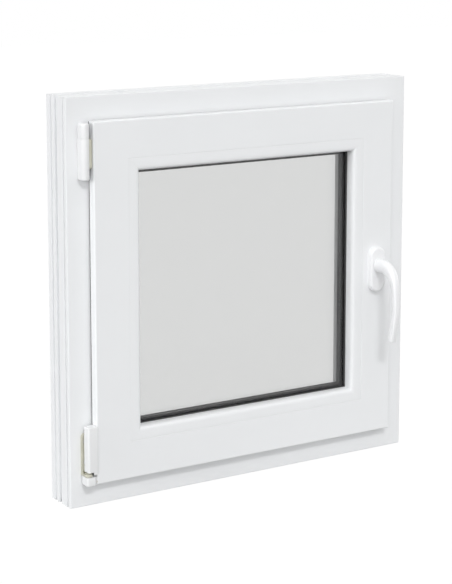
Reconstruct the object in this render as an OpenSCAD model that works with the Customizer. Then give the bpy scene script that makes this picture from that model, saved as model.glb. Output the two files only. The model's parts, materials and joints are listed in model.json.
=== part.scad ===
// Tilt-and-turn casement window of plastic profiles with double glazing, seen from the room side.
// X runs from the hinge jamb to the lock jamb, Y from the room to the outdoors, Z up.
// Distances named ..._u are measured inwards from the outer edge of the frame, on all four sides.

/* [Window] */
// Width of the outer frame
frame_w = 600; // [560:10:720]
// Height of the outer frame
frame_h = 600; // [560:10:720]
// Depth of the outer frame
frame_depth = 60; // [60:1:64]
// Width of a frame member up to its rebate
frame_face = 43; // [43:1:46]
// Height of the outdoor stop above the rebate
stop_reach = 20; // [19:1:22]
// Thickness of the outdoor stop
stop_t = 12.5; // [11:0.5:13]
// Wall of the plastic profiles
wall = 3; // [2.5:0.1:3.2]
// Chamfer on the visible edges of the profiles
edge_chamfer = 1.5; // [0.5:0.25:2]
// Depth of the narrow grooves round the frame
groove_shallow = 3.3; // [2:0.1:4]
// Depth of the wide groove round the frame
groove_deep = 6; // [4:0.5:6.5]

/* [Sash] */
// Lap of the sash leaf over the frame
leaf_lap = 8; // [7.5:0.5:8.5]
// Reach of the sash leaf beyond the sash rebate
leaf_reach = 20; // [20:0.5:21]
// Thickness of the sash leaf
leaf_t = 13.5; // [13:0.5:15]
// Gap between the sash leaf and the frame
leaf_gap = 3.5; // [3.4:0.1:3.8]
// Width of the sash face from its edge to the glazing bead
sash_face = 56; // [54:1:60]
// Gap between the sash and the outdoor stop, which the stop gasket fills
stop_gap = 4.5; // [4:0.1:5]
// Width of the hardware channel in the sash rebate
channel_w = 12; // [12:0.5:13]
// Depth of the hardware channel below the faceplate seat
channel_depth = 8; // [7:0.5:8.5]
// Height of the steel chamber in a sash member
sash_steel_h = 19; // [17:0.5:19.5]

/* [Glazing] */
// Width of a glazing bead
bead_w = 20.5; // [19:0.5:22]
// Setback of the bead behind the sash face
bead_setback = 1; // [0.8:0.1:2]
// Thickness of a glass pane
pane_t = 4; // [3.5:0.5:4.5]
// Space between the panes
cavity = 12; // [10:1:13]
// Thickness of the glazing gaskets
glazing_gasket_t = 3; // [2.5:0.5:3.5]
// Setback of the glass behind the sash face
glass_setback = 20; // [19.5:0.5:20.5]
// Height of the setting blocks
block_t = 5; // [4:0.5:6]
// Sight of the black spacer beyond the bead
spacer_sight = 4.7; // [3:0.1:6]
// Height of the spacer bar
spacer_h = 10; // [8:0.5:11]

/* [Steel] */
// Wall of the steel bars
steel_t = 1.5; // [1.2:0.1:2]
// Clearance of the steel bars in their chambers
steel_fit = 0.25; // [0.2:0.05:0.4]

/* [Fixings] */
// Diameter of the fixing holes through the head and the lock jamb
fixing_d = 8; // [6:0.5:9]
// Distance of a fixing hole from the end of its member
fixing_inset = 100; // [90:5:110]

/* [Hinges] */
// Distance of the turning axis from the outer edge of the frame
pivot_u = 23.5; // [23:0.5:24]
// Distance of the turning axis in front of the frame
pivot_out = 12.3; // [12.2:0.1:12.6]
// Height of the tilting axis above the lower edge of the frame
tilt_u = 40; // [39.5:0.5:40]
// Diameter of the pin of the lower pivot
pivot_pin_d = 7; // [6:0.5:7]
// Diameter of the tilting stud
tilt_stud_d = 6; // [5:0.5:6]
// Diameter of the pin of the upper hinge
stay_pin_d = 6; // [5:0.5:6]
// Width of the upper hinge cover
stay_cover_w = 13; // [12.5:0.5:13.5]
// Height of the upper hinge cover
stay_cover_h = 83; // [76:1:90]
// Height of the cover of the lower sash band
band_cover_h = 67; // [60:1:75]
// Wall of the plastic hinge covers
cover_t = 1.2; // [1:0.1:1.4]
// Distance along X from the turning axis to the stud of the stay arm
stay_reach = 255.5; // [250:0.5:260]
// Width of the stay arm
stay_w = 12; // [11:0.5:12]

/* [Handle] */
// Distance of the handle axis from the outer edge of the frame
spindle_u = 67; // [67:0.5:67.5]
// Side of the square spindle
spindle_side = 7; // [6:0.5:7.5]
// Distance between the handle screws
handle_screw_gap = 43; // [41:0.5:44]
// Height of the handle rosette
rosette_h = 71; // [68:1:76]
// Width of the handle rosette
rosette_w = 28; // [26:0.5:30]
// Distance that the rosette stands out from the sash
rosette_out = 10; // [9:0.5:12]
// Diameter of the journal of the handle
journal_d = 16; // [14:0.5:16.5]
// Distance of the grip in front of the sash
grip_out = 55.6; // [52:0.4:60]
// Length of the handle below its axis
grip_drop = 109; // [100:1:120]
// Width of the grip
grip_w = 11.4; // [10.6:0.2:13]

/* [Drive] */
// Teeth of the pinion
pinion_teeth = 14; // [14:1:14]
// Module of the pinion and the rack
tooth_module = 1; // [1:0.1:1]
// Thickness of the pinion
pinion_t = 8; // [6:0.5:8.5]
// Thickness of the faceplates
faceplate_t = 2.5; // [2:0.1:2.8]
// Width of the faceplates
faceplate_w = 16; // [15.5:0.5:16]
// Width of the drive rods
rod_w = 10; // [9:0.5:10.5]
// Diameter of the stem of a locking cam
cam_stem_d = 6; // [5:0.5:6.5]
// Diameter of the head of a locking cam
cam_head_d = 9; // [8:0.5:9]
// Distance of the side cams from the middle of the sash
cam_offset = 150; // [140:5:160]
// Thickness of the striker plates
keep_t = 2; // [1.5:0.1:2]
// Length of a striker plate
keep_len = 50; // [44:1:56]

/* [Hidden] */

$fn = 48;
eps = 0.01; // overshoot of a cutter
touch_gap = 0.3; // between pieces of different bodies that nearly touch
running_fit = 0.05; // radial clearance of a pin in its bore

white = [0.92, 0.93, 0.94];
black = [0.12, 0.12, 0.12];
steel_grey = [0.62, 0.63, 0.65];
zinc_beige = [0.72, 0.70, 0.62];
rubber_grey = [0.25, 0.25, 0.26];
glass_tint = [0.80, 0.86, 0.85, 0.4];

SIDES = ["sill", "hinge", "head", "lock"];

// Section lines of the frame and the sash
stop_u = frame_face + stop_reach;
stop_y = frame_depth - stop_t;
leaf_u = frame_face - leaf_lap;
rebate_u = leaf_u + leaf_reach;
joint_u = leaf_u + sash_face;
bead_u = joint_u + bead_w;
sash_front = -(leaf_gap + leaf_t);
sash_back = stop_y - stop_gap;
glass_y = sash_front + glass_setback;
unit_t = 2 * pane_t + cavity;
lip_y = glass_y + unit_t + glazing_gasket_t;
lip_flat = 8; // flat end of the outdoor glazing lip
lip_bevel = 10.5; // height of the bevel behind it
glass_u = joint_u + block_t;
spacer_u = bead_u + spacer_sight;

// Hardware channel of the sash: its axis lies 13 mm behind the sash leaf
channel_y = -leaf_gap + 13;
seat_depth = 3; // recess that the faceplates lie in
seat_w = faceplate_w + 0.2;
seat_u = rebate_u + seat_depth;
channel_u = seat_u + channel_depth;

// Ridges and grooves round the frame, from the room face to the outdoors
ridge_y = [11, frame_depth / 2 - 2];
groove_w = 4;
deep_groove_w = 8;
rear_groove_y = [frame_depth - 16, frame_depth - 11];
seat_y = (ridge_y[0] + ridge_y[1]) / 2;

// Steel chambers
frame_steel_y = [14, frame_depth - 20];
frame_steel_u = [groove_deep + 4, frame_face - wall - 2];
sash_steel_y = [-1.2, 22.2];
sash_steel_u = [joint_u - wall - sash_steel_h, joint_u - wall];

// Turning and tilting axes
axis_x = -frame_w / 2 + pivot_u;
axis_y = -pivot_out;
leaf_x = -frame_w / 2 + leaf_u;
tilt_z = tilt_u;

// Handle and gear
spindle_x = frame_w / 2 - spindle_u;
spindle_z = frame_h / 2;
pitch_r = tooth_module * pinion_teeth / 2;
pitch_x = spindle_x + pitch_r; // pitch line of the rack
travel = PI * pitch_r; // of the rods when the handle makes half a turn
tooth_pitch = PI * tooth_module;
pressure_angle = 25;
backlash = 0.3;
rod_u = rebate_u + faceplate_t + 0.2; // outer face of the drive rods
rod_t = 2.4;
seat_face = sash_front - rosette_out; // front face of the rosette
base_t = 3; // thickness of the handle base

// Places along the sash
gear_half = 38; // half the length of the gearbox
side_cam_z = [spindle_z - cam_offset, spindle_z + cam_offset];
top_cam_inset = 180;
bottom_cam_inset = 200;
top_cam_x = frame_w / 2 - top_cam_inset;
bottom_cam_x = frame_w / 2 - bottom_cam_inset;
corner_leg = 46; // length of a corner drive's leg
channel_end = rebate_u + corner_leg; // faceplates end here, measured along u
cam_head_u = frame_face + keep_t + 1;
cam_head_t = 3;
keep_gap = 3; // clear space between a cam at rest and the lip of its keep
lip_len = 12; // length of a keep's lip

// ---------- helpers ----------

// The origin lies under the sill, on the middle of the ridge between the two front grooves
module seated() { translate([0, -seat_y, 0]) children(); }

module box(lo, hi) { translate(lo) cube(hi - lo); }

module rod_x(x0, x1, y, z, d) { translate([x0, y, z]) rotate([0, 90, 0]) cylinder(h = x1 - x0, d = d); }

module rod_y(y0, y1, x, z, d) { translate([x, y1, z]) rotate([90, 0, 0]) cylinder(h = y1 - y0, d = d); }

module rod_z(z0, z1, x, y, d) { translate([x, y, z0]) cylinder(h = z1 - z0, d = d); }

function lock_x(u) = frame_w / 2 - u;
function head_z(u) = frame_h - u;
function side_turn(side) = side == "sill" ? 0 : side == "hinge" ? 90 : side == "head" ? 180 : -90;
function upright(side) = side == "hinge" || side == "lock";
function run_length(side) = upright(side) ? frame_h : frame_w;
function edge_distance(side) = upright(side) ? frame_w / 2 : frame_h / 2;

// Puts a piece drawn for the sill, with u up and its middle at x = 0, on any side of the window
module on_side(side) {
  translate([0, 0, frame_h / 2]) rotate([0, side_turn(side), 0])
    translate([0, 0, -edge_distance(side)]) children();
}

// One side of a mitred rectangle: the children are its section, with x = depth y and y = u
module mitred_run(side) {
  reach = frame_h / 4;
  length = run_length(side);
  on_side(side) intersection() {
    translate([-length / 2, 0, 0]) rotate([90, 0, 90]) linear_extrude(length) children();
    rotate([90, 0, 0]) translate([0, 0, -2 * frame_depth]) linear_extrude(3 * frame_depth)
      polygon([[-length / 2, 0], [length / 2, 0], [length / 2 - reach, reach], [-length / 2 + reach, reach]]);
  }
}

// A strip of the section, from depth y0 to y1 and from u0 to u1
module strip(y0, y1, u0, u1) { translate([y0, u0]) square([y1 - y0, u1 - u0]); }

// A slot on the sill between the centres x0 and x1, cut from u0 to u1
module slot(x0, x1, d, u0, u1) {
  box([x0, channel_y - d / 2, u0], [x1, channel_y + d / 2, u1]);
  for (x = [x0, x1]) rod_z(u0, u1, x, channel_y, d);
}

// A strip that runs round all four sides without joints
module ring(y0, y1, u0, u1) {
  difference() {
    box([-frame_w / 2 + u0, y0, u0], [frame_w / 2 - u0, y1, frame_h - u0]);
    box([-frame_w / 2 + u1, y0 - eps, u1], [frame_w / 2 - u1, y1 + eps, frame_h - u1]);
  }
}

module countersunk_screw(head_d, shank_d, length) {
  // drawn with its head at z = 0 and its shank along -Z
  rotate_extrude() polygon([
    [0, 0], [head_d / 2, 0], [head_d / 2, -0.3], [shank_d / 2, -0.3 - (head_d - shank_d) / 2],
    [shank_d / 2, -length + 1.5], [0, -length]
  ]);
}

// ---------- outer frame ----------

module frame_section() {
  c = edge_chamfer;
  difference() {
    polygon([
      [0, c / 2], [c / 2, 0], [frame_depth, 0], [frame_depth, stop_u - c], [frame_depth - c, stop_u],
      [stop_y + c, stop_u], [stop_y, stop_u - c], [stop_y, frame_face], [c, frame_face], [0, frame_face - c]
    ]);
    strip(ridge_y[0] - groove_w, ridge_y[0], -eps, groove_shallow);
    strip(ridge_y[1], ridge_y[1] + deep_groove_w, -eps, groove_deep);
    strip(rear_groove_y[0], rear_groove_y[1], -eps, groove_shallow);
    strip(stop_y - eps, stop_y + 2.4, stop_u - 5.2, stop_u - 2.8);
    strip(frame_steel_y[0], frame_steel_y[1], frame_steel_u[0], frame_steel_u[1]);
    strip(wall, frame_steel_y[0] - 1.5, groove_shallow + wall, frame_face - wall);
    strip(frame_steel_y[1] + 1.5, frame_depth - wall, groove_shallow + 2 * wall, frame_face - wall);
    strip(stop_y + 5, frame_depth - wall, frame_face, stop_u - wall);
  }
}

drain_x = [-frame_w / 4, frame_w / 4];
drain_w = 26;
drain_h = 5;
drain_z = 14;

fixing_y = seat_y;

module fixing_holes() {
  for (side = ["head", "lock"], end = [-1, 1])
    on_side(side) rod_z(-eps, frame_face + eps, end * (run_length(side) / 2 - fixing_inset), fixing_y, fixing_d);
}

// Pilot holes for screws run along the screws with this radial clearance
screw_fit = 0.05;

module frame_head() {
  color(white) seated() difference() {
    mitred_run("head") frame_section();
    fixing_holes();
    at_top_keep() keep_pilots(keep_len);
  }
}

module frame_sill() {
  color(white) seated() difference() {
    mitred_run("sill") frame_section();
    for (x = drain_x) {
      box([x - drain_w / 2, frame_depth - 2 * wall, drain_z], [x + drain_w / 2, frame_depth + eps, drain_z + drain_h]);
      box([x - drain_w / 2, frame_steel_y[1] + 2, frame_face - 2 * wall],
          [x + drain_w / 2, frame_steel_y[1] + 2 + drain_h, frame_face + eps]);
    }
    at_tilt_keep() keep_pilots(tilt_keep_len);
  }
}

module hinge_pilots() {
  for (z = concat(bearing_screw_z, stay_screw_z)) rod_y(-eps, 22, axis_x, z, 4 + 2 * screw_fit);
}

module frame_hinge_jamb() {
  color(white) seated() difference() {
    mitred_run("hinge") frame_section();
    hinge_pilots();
  }
}

module frame_lock_jamb() {
  color(white) seated() difference() {
    mitred_run("lock") frame_section();
    fixing_holes();
    for (z = side_cam_z) at_lock_keep(z) keep_pilots(keep_len);
  }
}

steel_end = 12; // from the end of a steel bar to the mitre

// Straight square tube along one side; the chambers meet at the mitres, so the tubes stop short of them
module steel_bar(side, ys, us, end_gap) {
  half = run_length(side) / 2 - us[1] - end_gap;
  on_side(side) difference() {
    box([-half, ys[0] + steel_fit, us[0] + steel_fit], [half, ys[1] - steel_fit, us[1] - steel_fit]);
    box([-half - eps, ys[0] + steel_fit + steel_t, us[0] + steel_fit + steel_t],
        [half + eps, ys[1] - steel_fit - steel_t, us[1] - steel_fit - steel_t]);
  }
}

module frame_steel_bars() {
  color(steel_grey) seated() difference() {
    for (side = SIDES) steel_bar(side, frame_steel_y, frame_steel_u, steel_end);
    hinge_pilots();
    fixing_holes();
  }
}

module frame_stop_gasket() {
  color(rubber_grey) seated() {
    ring(stop_y - 1, stop_y + 2.3, stop_u - 5.1, stop_u - 2.9);
    ring(sash_back + touch_gap, stop_y, stop_u - 5.6, stop_u - 2.4);
  }
}

module drain_caps() {
  cap_t = 3;
  rim = 4;
  color(white) seated() for (x = drain_x) difference() {
    box([x - drain_w / 2 - rim, frame_depth, drain_z - rim],
        [x + drain_w / 2 + rim, frame_depth + cap_t, drain_z + drain_h + rim]);
    box([x - drain_w / 2, frame_depth - eps, drain_z - rim - eps],
        [x + drain_w / 2, frame_depth + cap_t - 1.2, drain_z + drain_h + eps]);
  }
}

// ---------- locking points on the frame ----------

keep_y = [channel_y - 8.5, channel_y + 7.5];
keep_lip_t = 3;
keep_hook = 6; // reach of the hook at the top of the lip, from the keep's front edge
lip_u = rebate_u - 3;
tilt_keep_len = keep_len + 10;
keep_screw_y = channel_y + 2.5;
keep_screw_d = 3.8;
keep_screw_head_d = 6.8;
keep_screw_len = 14;
keep_screw_inset = 7;

function keep_screw_x(length) = [-length / 2 + keep_screw_inset, length / 2 - keep_screw_inset];

// Drawn on the sill with the cam at x = 0; the lip stands on the side that lip_side names
module keep(lip_side, length) {
  lip_x = lip_side * (cam_head_d / 2 + keep_gap + lip_len / 2);
  difference() {
    union() {
      box([-length / 2, keep_y[0], frame_face], [length / 2, keep_y[1], frame_face + keep_t]);
      box([lip_x - lip_len / 2, keep_y[0], frame_face], [lip_x + lip_len / 2, keep_y[0] + keep_lip_t, lip_u]);
      box([lip_x - lip_len / 2, keep_y[0], lip_u - 2], [lip_x + lip_len / 2, keep_y[0] + keep_hook, lip_u]);
    }
    for (x = keep_screw_x(length)) translate([x, keep_screw_y, frame_face + keep_t])
      rotate_extrude() polygon([
        [0, eps], [keep_screw_head_d / 2 + 0.1, eps], [keep_screw_head_d / 2 + 0.1, -0.5],
        [keep_screw_d / 2 + 0.1, -keep_t], [keep_screw_d / 2 + 0.1, -keep_t - eps], [0, -keep_t - eps]
      ]);
  }
}

module keep_pilots(length) {
  for (x = keep_screw_x(length))
    rod_z(frame_face + keep_t - keep_screw_len - 1, frame_face + eps, x, keep_screw_y, keep_screw_d + 2 * screw_fit);
}

module keep_screw_pair(length) {
  for (x = keep_screw_x(length)) translate([x, keep_screw_y, frame_face + keep_t - 0.1])
    countersunk_screw(keep_screw_head_d, keep_screw_d, keep_screw_len);
}

module at_lock_keep(z) { translate([frame_w / 2, 0, z]) rotate([0, -90, 0]) children(); }

module at_top_keep() { translate([top_cam_x, 0, frame_h]) rotate([0, 180, 0]) children(); }

module at_tilt_keep() { translate([bottom_cam_x, 0, 0]) children(); }

module striker_plates() {
  color(zinc_beige) seated() {
    for (z = side_cam_z) at_lock_keep(z) keep(1, keep_len);
    at_top_keep() keep(1, keep_len);
  }
}

module tilt_keep() { color(zinc_beige) seated() at_tilt_keep() keep(1, tilt_keep_len); }

module keep_screws() {
  color(steel_grey) seated() {
    for (z = side_cam_z) at_lock_keep(z) keep_screw_pair(keep_len);
    at_top_keep() keep_screw_pair(keep_len);
    at_tilt_keep() keep_screw_pair(tilt_keep_len);
  }
}

// ---------- lower hinge ----------

cap_top = 48.2; // height of the lower white cap above the frame's lower edge
cap_z0 = leaf_u + 0.4;
eye_z = [cap_top + 0.4, cap_top + 4.4];
head_top = eye_z[1] + 2;
band_z0 = head_top + 1.6;
band_z1 = band_z0 + band_cover_h;
bearing_t = 5.5; // thickness of the bearing's base
bearing_x = [axis_x - 6, axis_x + 6];
bearing_z1 = band_z1 - 12;
bearing_screw_z = [eye_z[1] + 16, bearing_z1 - 12];

module corner_bearing() {
  color(zinc_beige) seated() difference() {
    union() {
      box([bearing_x[0], -bearing_t, eye_z[0]], [bearing_x[1], 0, bearing_z1 - 6]);
      rod_y(-bearing_t, 0, axis_x, bearing_z1 - 6, bearing_x[1] - bearing_x[0]);
      box([bearing_x[0], axis_y, eye_z[0]], [bearing_x[1], -bearing_t, eye_z[1]]);
      rod_z(eye_z[0], eye_z[1], axis_x, axis_y, bearing_x[1] - bearing_x[0]);
    }
    rod_z(eye_z[0] - eps, eye_z[1] + eps, axis_x, axis_y, pivot_pin_d + 2 * running_fit);
    for (z = bearing_screw_z) rod_y(-bearing_t - eps, eps, axis_x, z, 4.4);
    for (z = bearing_screw_z) translate([axis_x, -bearing_t, z]) rotate([90, 0, 0])
      rotate_extrude() polygon([[0, eps], [4.1, eps], [4.1, -0.5], [2.1, -2.5], [0, -2.5]]);
  }
}

module corner_bearing_screws() {
  color(steel_grey) seated() for (z = bearing_screw_z)
    translate([axis_x, -bearing_t, z]) rotate([90, 0, 0]) countersunk_screw(8, 4, 26);
}

yoke_z0 = cap_z0 + cover_t + 0.2;
yoke_right = leaf_x - axis_x - 0.7 - cover_t - 0.3;

// Hangs in the eye of the corner bearing and carries the tilting stud
module pivot_yoke() {
  color(zinc_beige) seated() {
    rod_z(cap_top - 0.2, eye_z[1] + touch_gap, axis_x, axis_y, pivot_pin_d);
    rod_z(eye_z[1] + touch_gap, head_top, axis_x, axis_y, pivot_pin_d + 3);
    intersection() {
      box([axis_x - 4.4, axis_y - 7, yoke_z0], [axis_x + yoke_right, axis_y + 6, cap_top - 0.2]);
      rod_z(yoke_z0, cap_top, axis_x, axis_y, 2 * (pivot_out - 0.4 - cover_t - 0.2));
    }
    rod_x(axis_x, leaf_x + 13, axis_y, tilt_z, tilt_stud_d);
  }
}

cap_left = 6.2; // reach of the lower cap to the left of the turning axis
cap_front = 10.6; // and in front of it
cap_right = leaf_x - axis_x - 0.7;

module cap_outline(inset) {
  intersection() {
    translate([-cap_left + inset, -cap_front + inset])
      square([cap_left + cap_right - 2 * inset, cap_front + pivot_out - 2 * inset]);
    circle(r = pivot_out - 0.4 - inset);
  }
}

module pivot_cap() {
  color(white) seated() difference() {
    translate([axis_x, axis_y, cap_z0]) linear_extrude(cap_top - cap_z0) cap_outline(0);
    translate([axis_x, axis_y, cap_z0 + cover_t]) linear_extrude(cap_top) cap_outline(cover_t);
    box([axis_x, axis_y - tilt_stud_d / 2 - 0.3, tilt_z - tilt_stud_d / 2 - 0.3],
        [leaf_x, axis_y + tilt_stud_d / 2 + 0.3, cap_top + eps]);
  }
}

// ---------- upper hinge ----------

stay_z1 = head_z(leaf_u) + 0.3; // top of the upper hinge cover
stay_z0 = stay_z1 - stay_cover_h;
knuckle_z0 = stay_z1 - 24;
arm_z = [head_z(rebate_u) + 4, head_z(rebate_u) + 7]; // between the sash and the frame head
plate_z = [arm_z[0], head_z(frame_face) + 1.4]; // above the corner of the sash as it tilts
stay_screw_z = [stay_z0 + 14, knuckle_z0 - 12];
stay_barrel_d = stay_cover_w - 2 * cover_t - 0.4;

module stay_bearing() {
  z0 = stay_z0 + 2;
  z1 = knuckle_z0 - 0.6;
  half = stay_barrel_d / 2;
  color(zinc_beige) seated() difference() {
    union() {
      box([axis_x - half, -3, z0], [axis_x + half, 0, z1]);
      for (z = [[z0, z0 + 7], [(z0 + z1) / 2 - 5, (z0 + z1) / 2 + 5], [z1 - 7, z1]]) {
        box([axis_x - half, axis_y, z[0]], [axis_x + half, -3, z[1]]);
        rod_z(z[0], z[1], axis_x, axis_y, stay_barrel_d);
      }
    }
    rod_z(z0 - eps, z1 + eps, axis_x, axis_y, stay_pin_d + 2 * running_fit);
    for (z = stay_screw_z) rod_y(-3 - eps, eps, axis_x, z, 4.4);
  }
}

module stay_bearing_screws() {
  color(steel_grey) seated() for (z = stay_screw_z) translate([axis_x, -3, z]) rotate([90, 0, 0])
    rotate_extrude() polygon([[0, 1.8], [2.6, 1.8], [3.6, 0.8], [3.6, 0], [2, 0], [2, -20], [0, -22]]);
}

module stay_pin() {
  color(steel_grey) seated() rod_z(stay_z0 + 2.5, stay_z1 - 2.4, axis_x, axis_y, stay_pin_d);
}

module stay_cover_outline(inset) {
  translate([0, 0]) circle(d = stay_cover_w - 2 * inset);
  translate([-stay_cover_w / 2 + inset, 0]) square([stay_cover_w - 2 * inset, pivot_out - 0.05]);
}

module stay_bearing_cover() {
  color(white) seated() difference() {
    translate([axis_x, axis_y, stay_z0]) linear_extrude(knuckle_z0 - 0.3 - stay_z0) stay_cover_outline(0);
    translate([axis_x, axis_y, stay_z0 + cover_t]) linear_extrude(stay_cover_h) stay_cover_outline(cover_t);
  }
}

arm_right = axis_x + stay_reach; // stud of the stay arm at rest
cross_x = [-frame_w / 2 + frame_face + 1, -frame_w / 2 + rebate_u + 1];
plate_y = [-3.1, -0.7];

// Cranked arm: knuckle on the pin, plate in the gap behind the leaf, flat arm above the sash
module stay_arm() {
  half = stay_barrel_d / 2;
  z0 = knuckle_z0 + 0.6;
  color(steel_grey) seated() difference() {
    union() {
      rod_z(z0, stay_z1 - 2.4, axis_x, axis_y, stay_barrel_d);
      box([axis_x, axis_y, plate_z[0]], [axis_x + half, plate_y[0] + 1, plate_z[1]]);
      box([axis_x, plate_y[0], plate_z[0]], [cross_x[1], plate_y[1], plate_z[1]]);
      box([cross_x[0], plate_y[0], arm_z[0]], [cross_x[1], channel_y + stay_w / 2, arm_z[1]]);
      box([cross_x[0], channel_y - stay_w / 2, arm_z[0]], [arm_right, channel_y + stay_w / 2, arm_z[1]]);
      rod_z(arm_z[0], arm_z[1], arm_right, channel_y, stay_w);
    }
    rod_z(z0 - eps, stay_z1, axis_x, axis_y, stay_pin_d + 2 * running_fit);
  }
}

stud_d = 6.6;
stud_head_d = stud_d + 3;
stud_z0 = head_z(rebate_u) - 4;

module stay_stud() {
  color(steel_grey) seated() {
    rod_z(stud_z0, arm_z[0], arm_right, channel_y, stud_d);
    rod_z(arm_z[1], arm_z[1] + 1.6, arm_right, channel_y, stud_head_d);
  }
}

module stay_knuckle_cover() {
  z0 = knuckle_z0;
  rear = -plate_y[0] + 0.2; // the cover stays in front of the arm's plate
  color(white) seated() difference() {
    translate([axis_x, axis_y, z0]) linear_extrude(stay_z1 - z0) intersection() {
      stay_cover_outline(0);
      circle(r = pivot_out - 0.4);
    }
    translate([axis_x, axis_y, z0 - eps]) linear_extrude(stay_z1 - z0 - cover_t) stay_cover_outline(cover_t);
    box([axis_x - cover_t, axis_y, z0 - eps], [axis_x + stay_cover_w, 0, plate_z[1] + 0.3]);
    box([axis_x - stay_cover_w, -rear, z0 - eps], [axis_x + stay_cover_w, 0, stay_z1 - cover_t]);
  }
}

// ---------- sash ----------

gasket_groove_u = [leaf_u + 3.4, leaf_u + 6];

module sash_section() {
  c = edge_chamfer;
  difference() {
    polygon([
      [sash_front, leaf_u + c], [sash_front, joint_u - 0.4], [sash_front + 0.4, joint_u], [lip_y, joint_u],
      [lip_y, bead_u - 0.5], [lip_y + 0.5, bead_u], [lip_y + lip_flat, bead_u], [sash_back, bead_u - lip_bevel],
      [sash_back, rebate_u + c], [sash_back - c, rebate_u], [-leaf_gap, rebate_u],
      [-leaf_gap, leaf_u + c / 2], [-leaf_gap - c / 2, leaf_u], [sash_front + c, leaf_u]
    ]);
    strip(channel_y - seat_w / 2, channel_y + seat_w / 2, rebate_u - eps, seat_u);
    strip(channel_y - channel_w / 2, channel_y + channel_w / 2, seat_u - eps, channel_u);
    strip(-leaf_gap - 2.5, -leaf_gap + eps, gasket_groove_u[0], gasket_groove_u[1]);
    strip(bead_foot_y[0], bead_foot_y[1], joint_u - 2.6, joint_u + eps);
    strip(sash_front + wall, -leaf_gap - 2.5 - wall, leaf_u + wall + 1, sash_steel_u[0] - wall);
    strip(sash_front + wall, sash_steel_y[0] - 2, sash_steel_u[0], sash_steel_u[1] - 1.5);
    strip(sash_steel_y[0], sash_steel_y[1], sash_steel_u[0], sash_steel_u[1]);
    strip(sash_steel_y[1] + 2.5, sash_back - wall, rebate_u + wall + 0.5, sash_steel_u[1] - 1);
  }
}

bead_foot_y = [sash_front + 3.7, sash_front + 7.3];

module sash_top_rail() {
  color(white) seated() difference() {
    mitred_run("head") sash_section();
    on_side("head") faceplate_pilots(-plate_right, -top_plate_left);
  }
}

module sash_bottom_rail() {
  color(white) seated() difference() {
    mitred_run("sill") sash_section();
    bush_hole();
    on_side("sill") faceplate_pilots(plate_left, plate_right);
  }
}

module bush_hole() { rod_x(leaf_x - eps, leaf_x + bush_len + 0.1, axis_y, tilt_z, bush_d); }

module sash_hinge_stile() {
  color(white) seated() difference() {
    mitred_run("hinge") sash_section();
    bush_hole();
    for (z = band_screw_z) rod_x(leaf_x - eps, leaf_x + 2 * wall, axis_y, z, 3.2);
  }
}

gear_x = [spindle_x - pitch_r - tooth_module - 2.2, pitch_x - tooth_module - 0.2];
pocket_fit = 0.15;

module gear_pocket() {
  box([gear_x[0] - pocket_fit, channel_y - channel_w / 2, spindle_z - gear_half - pocket_fit],
      [lock_x(seat_u), channel_y + channel_w / 2, spindle_z + gear_half + pocket_fit]);
}

screw_z = [spindle_z - handle_screw_gap / 2, spindle_z + handle_screw_gap / 2];

module handle_holes() {
  rod_y(sash_front - eps, channel_y, spindle_x, spindle_z, journal_d - 2);
  for (z = screw_z) rod_y(sash_front - eps, channel_y, spindle_x, z, 5.6);
}

module sash_lock_stile() {
  color(white) seated() difference() {
    mitred_run("lock") sash_section();
    gear_pocket();
    handle_holes();
    on_side("lock") faceplate_pilots(-plate_half_h, plate_half_h);
  }
}

module sash_steel_bars() {
  color(steel_grey) seated() difference() {
    for (side = SIDES) steel_bar(side, sash_steel_y, sash_steel_u, steel_end);
    gear_pocket();
    handle_holes();
    rod_y(sash_front, channel_y, spindle_x, spindle_z, journal_d);
  }
}

// The gasket is notched where the plate of the stay arm passes behind the leaf
module overlap_gasket() {
  color(rubber_grey) seated() difference() {
    union() {
      ring(-leaf_gap - 2.4, -leaf_gap + 1, gasket_groove_u[0] + 0.1, gasket_groove_u[1] - 0.1);
      ring(-leaf_gap, -touch_gap, gasket_groove_u[0] - 0.2, gasket_groove_u[1]);
    }
    box([leaf_x - 1, -leaf_gap - 3, plate_z[0] - 0.6], [leaf_x + leaf_reach, 0, plate_z[1] + 0.6]);
  }
}

// ---------- glazing ----------

module pane(y0) {
  box([-frame_w / 2 + glass_u, y0, glass_u], [frame_w / 2 - glass_u, y0 + pane_t, frame_h - glass_u]);
}

module inner_pane() { color(glass_tint) seated() pane(glass_y); }

module outer_pane() { color(glass_tint) seated() pane(glass_y + pane_t + cavity); }

module spacer_bar() {
  y0 = glass_y + pane_t;
  color(black) seated() difference() {
    ring(y0, y0 + cavity, spacer_u - spacer_h, spacer_u);
    ring(y0 + 1, y0 + cavity - 1, spacer_u - spacer_h + 1, spacer_u - 1);
  }
}

module edge_seal() {
  y0 = glass_y + pane_t;
  color(black) seated() ring(y0, y0 + cavity, glass_u + 0.5, spacer_u - spacer_h);
}

block_len = 60;
block_inset = 40;
block_end = glass_u + block_inset; // from a corner of the window to the middle of a setting block

// The blocks carry the unit at the lower hinge corner and wedge it at the upper lock corner
module setting_blocks() {
  half = block_len / 2;
  color(rubber_grey) seated() {
    for (at = [["sill", -1], ["sill", 1], ["hinge", 1], ["lock", 1], ["lock", -1], ["head", -1]])
      on_side(at[0]) translate([at[1] * (run_length(at[0]) / 2 - block_end), 0, 0])
        box([-half, glass_y, joint_u], [half, glass_y + unit_t, glass_u]);
  }
}

bead_steps = 10;
bead_low = glass_y - 5; // where the bead's curve ends at the glass side
bead_top = sash_front + bead_setback;

// Crown of the bead: nearly flat for most of its width, then a quick roll down to the glass
bead_crown = [for (i = [0:bead_steps]) let (t = 1 - pow(1 - i / bead_steps, 1.9))
  [bead_low - (bead_low - bead_top) * pow(1 - pow(t, 8), 0.3), joint_u + 0.3 + t * (bead_w - 0.3)]];

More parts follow.
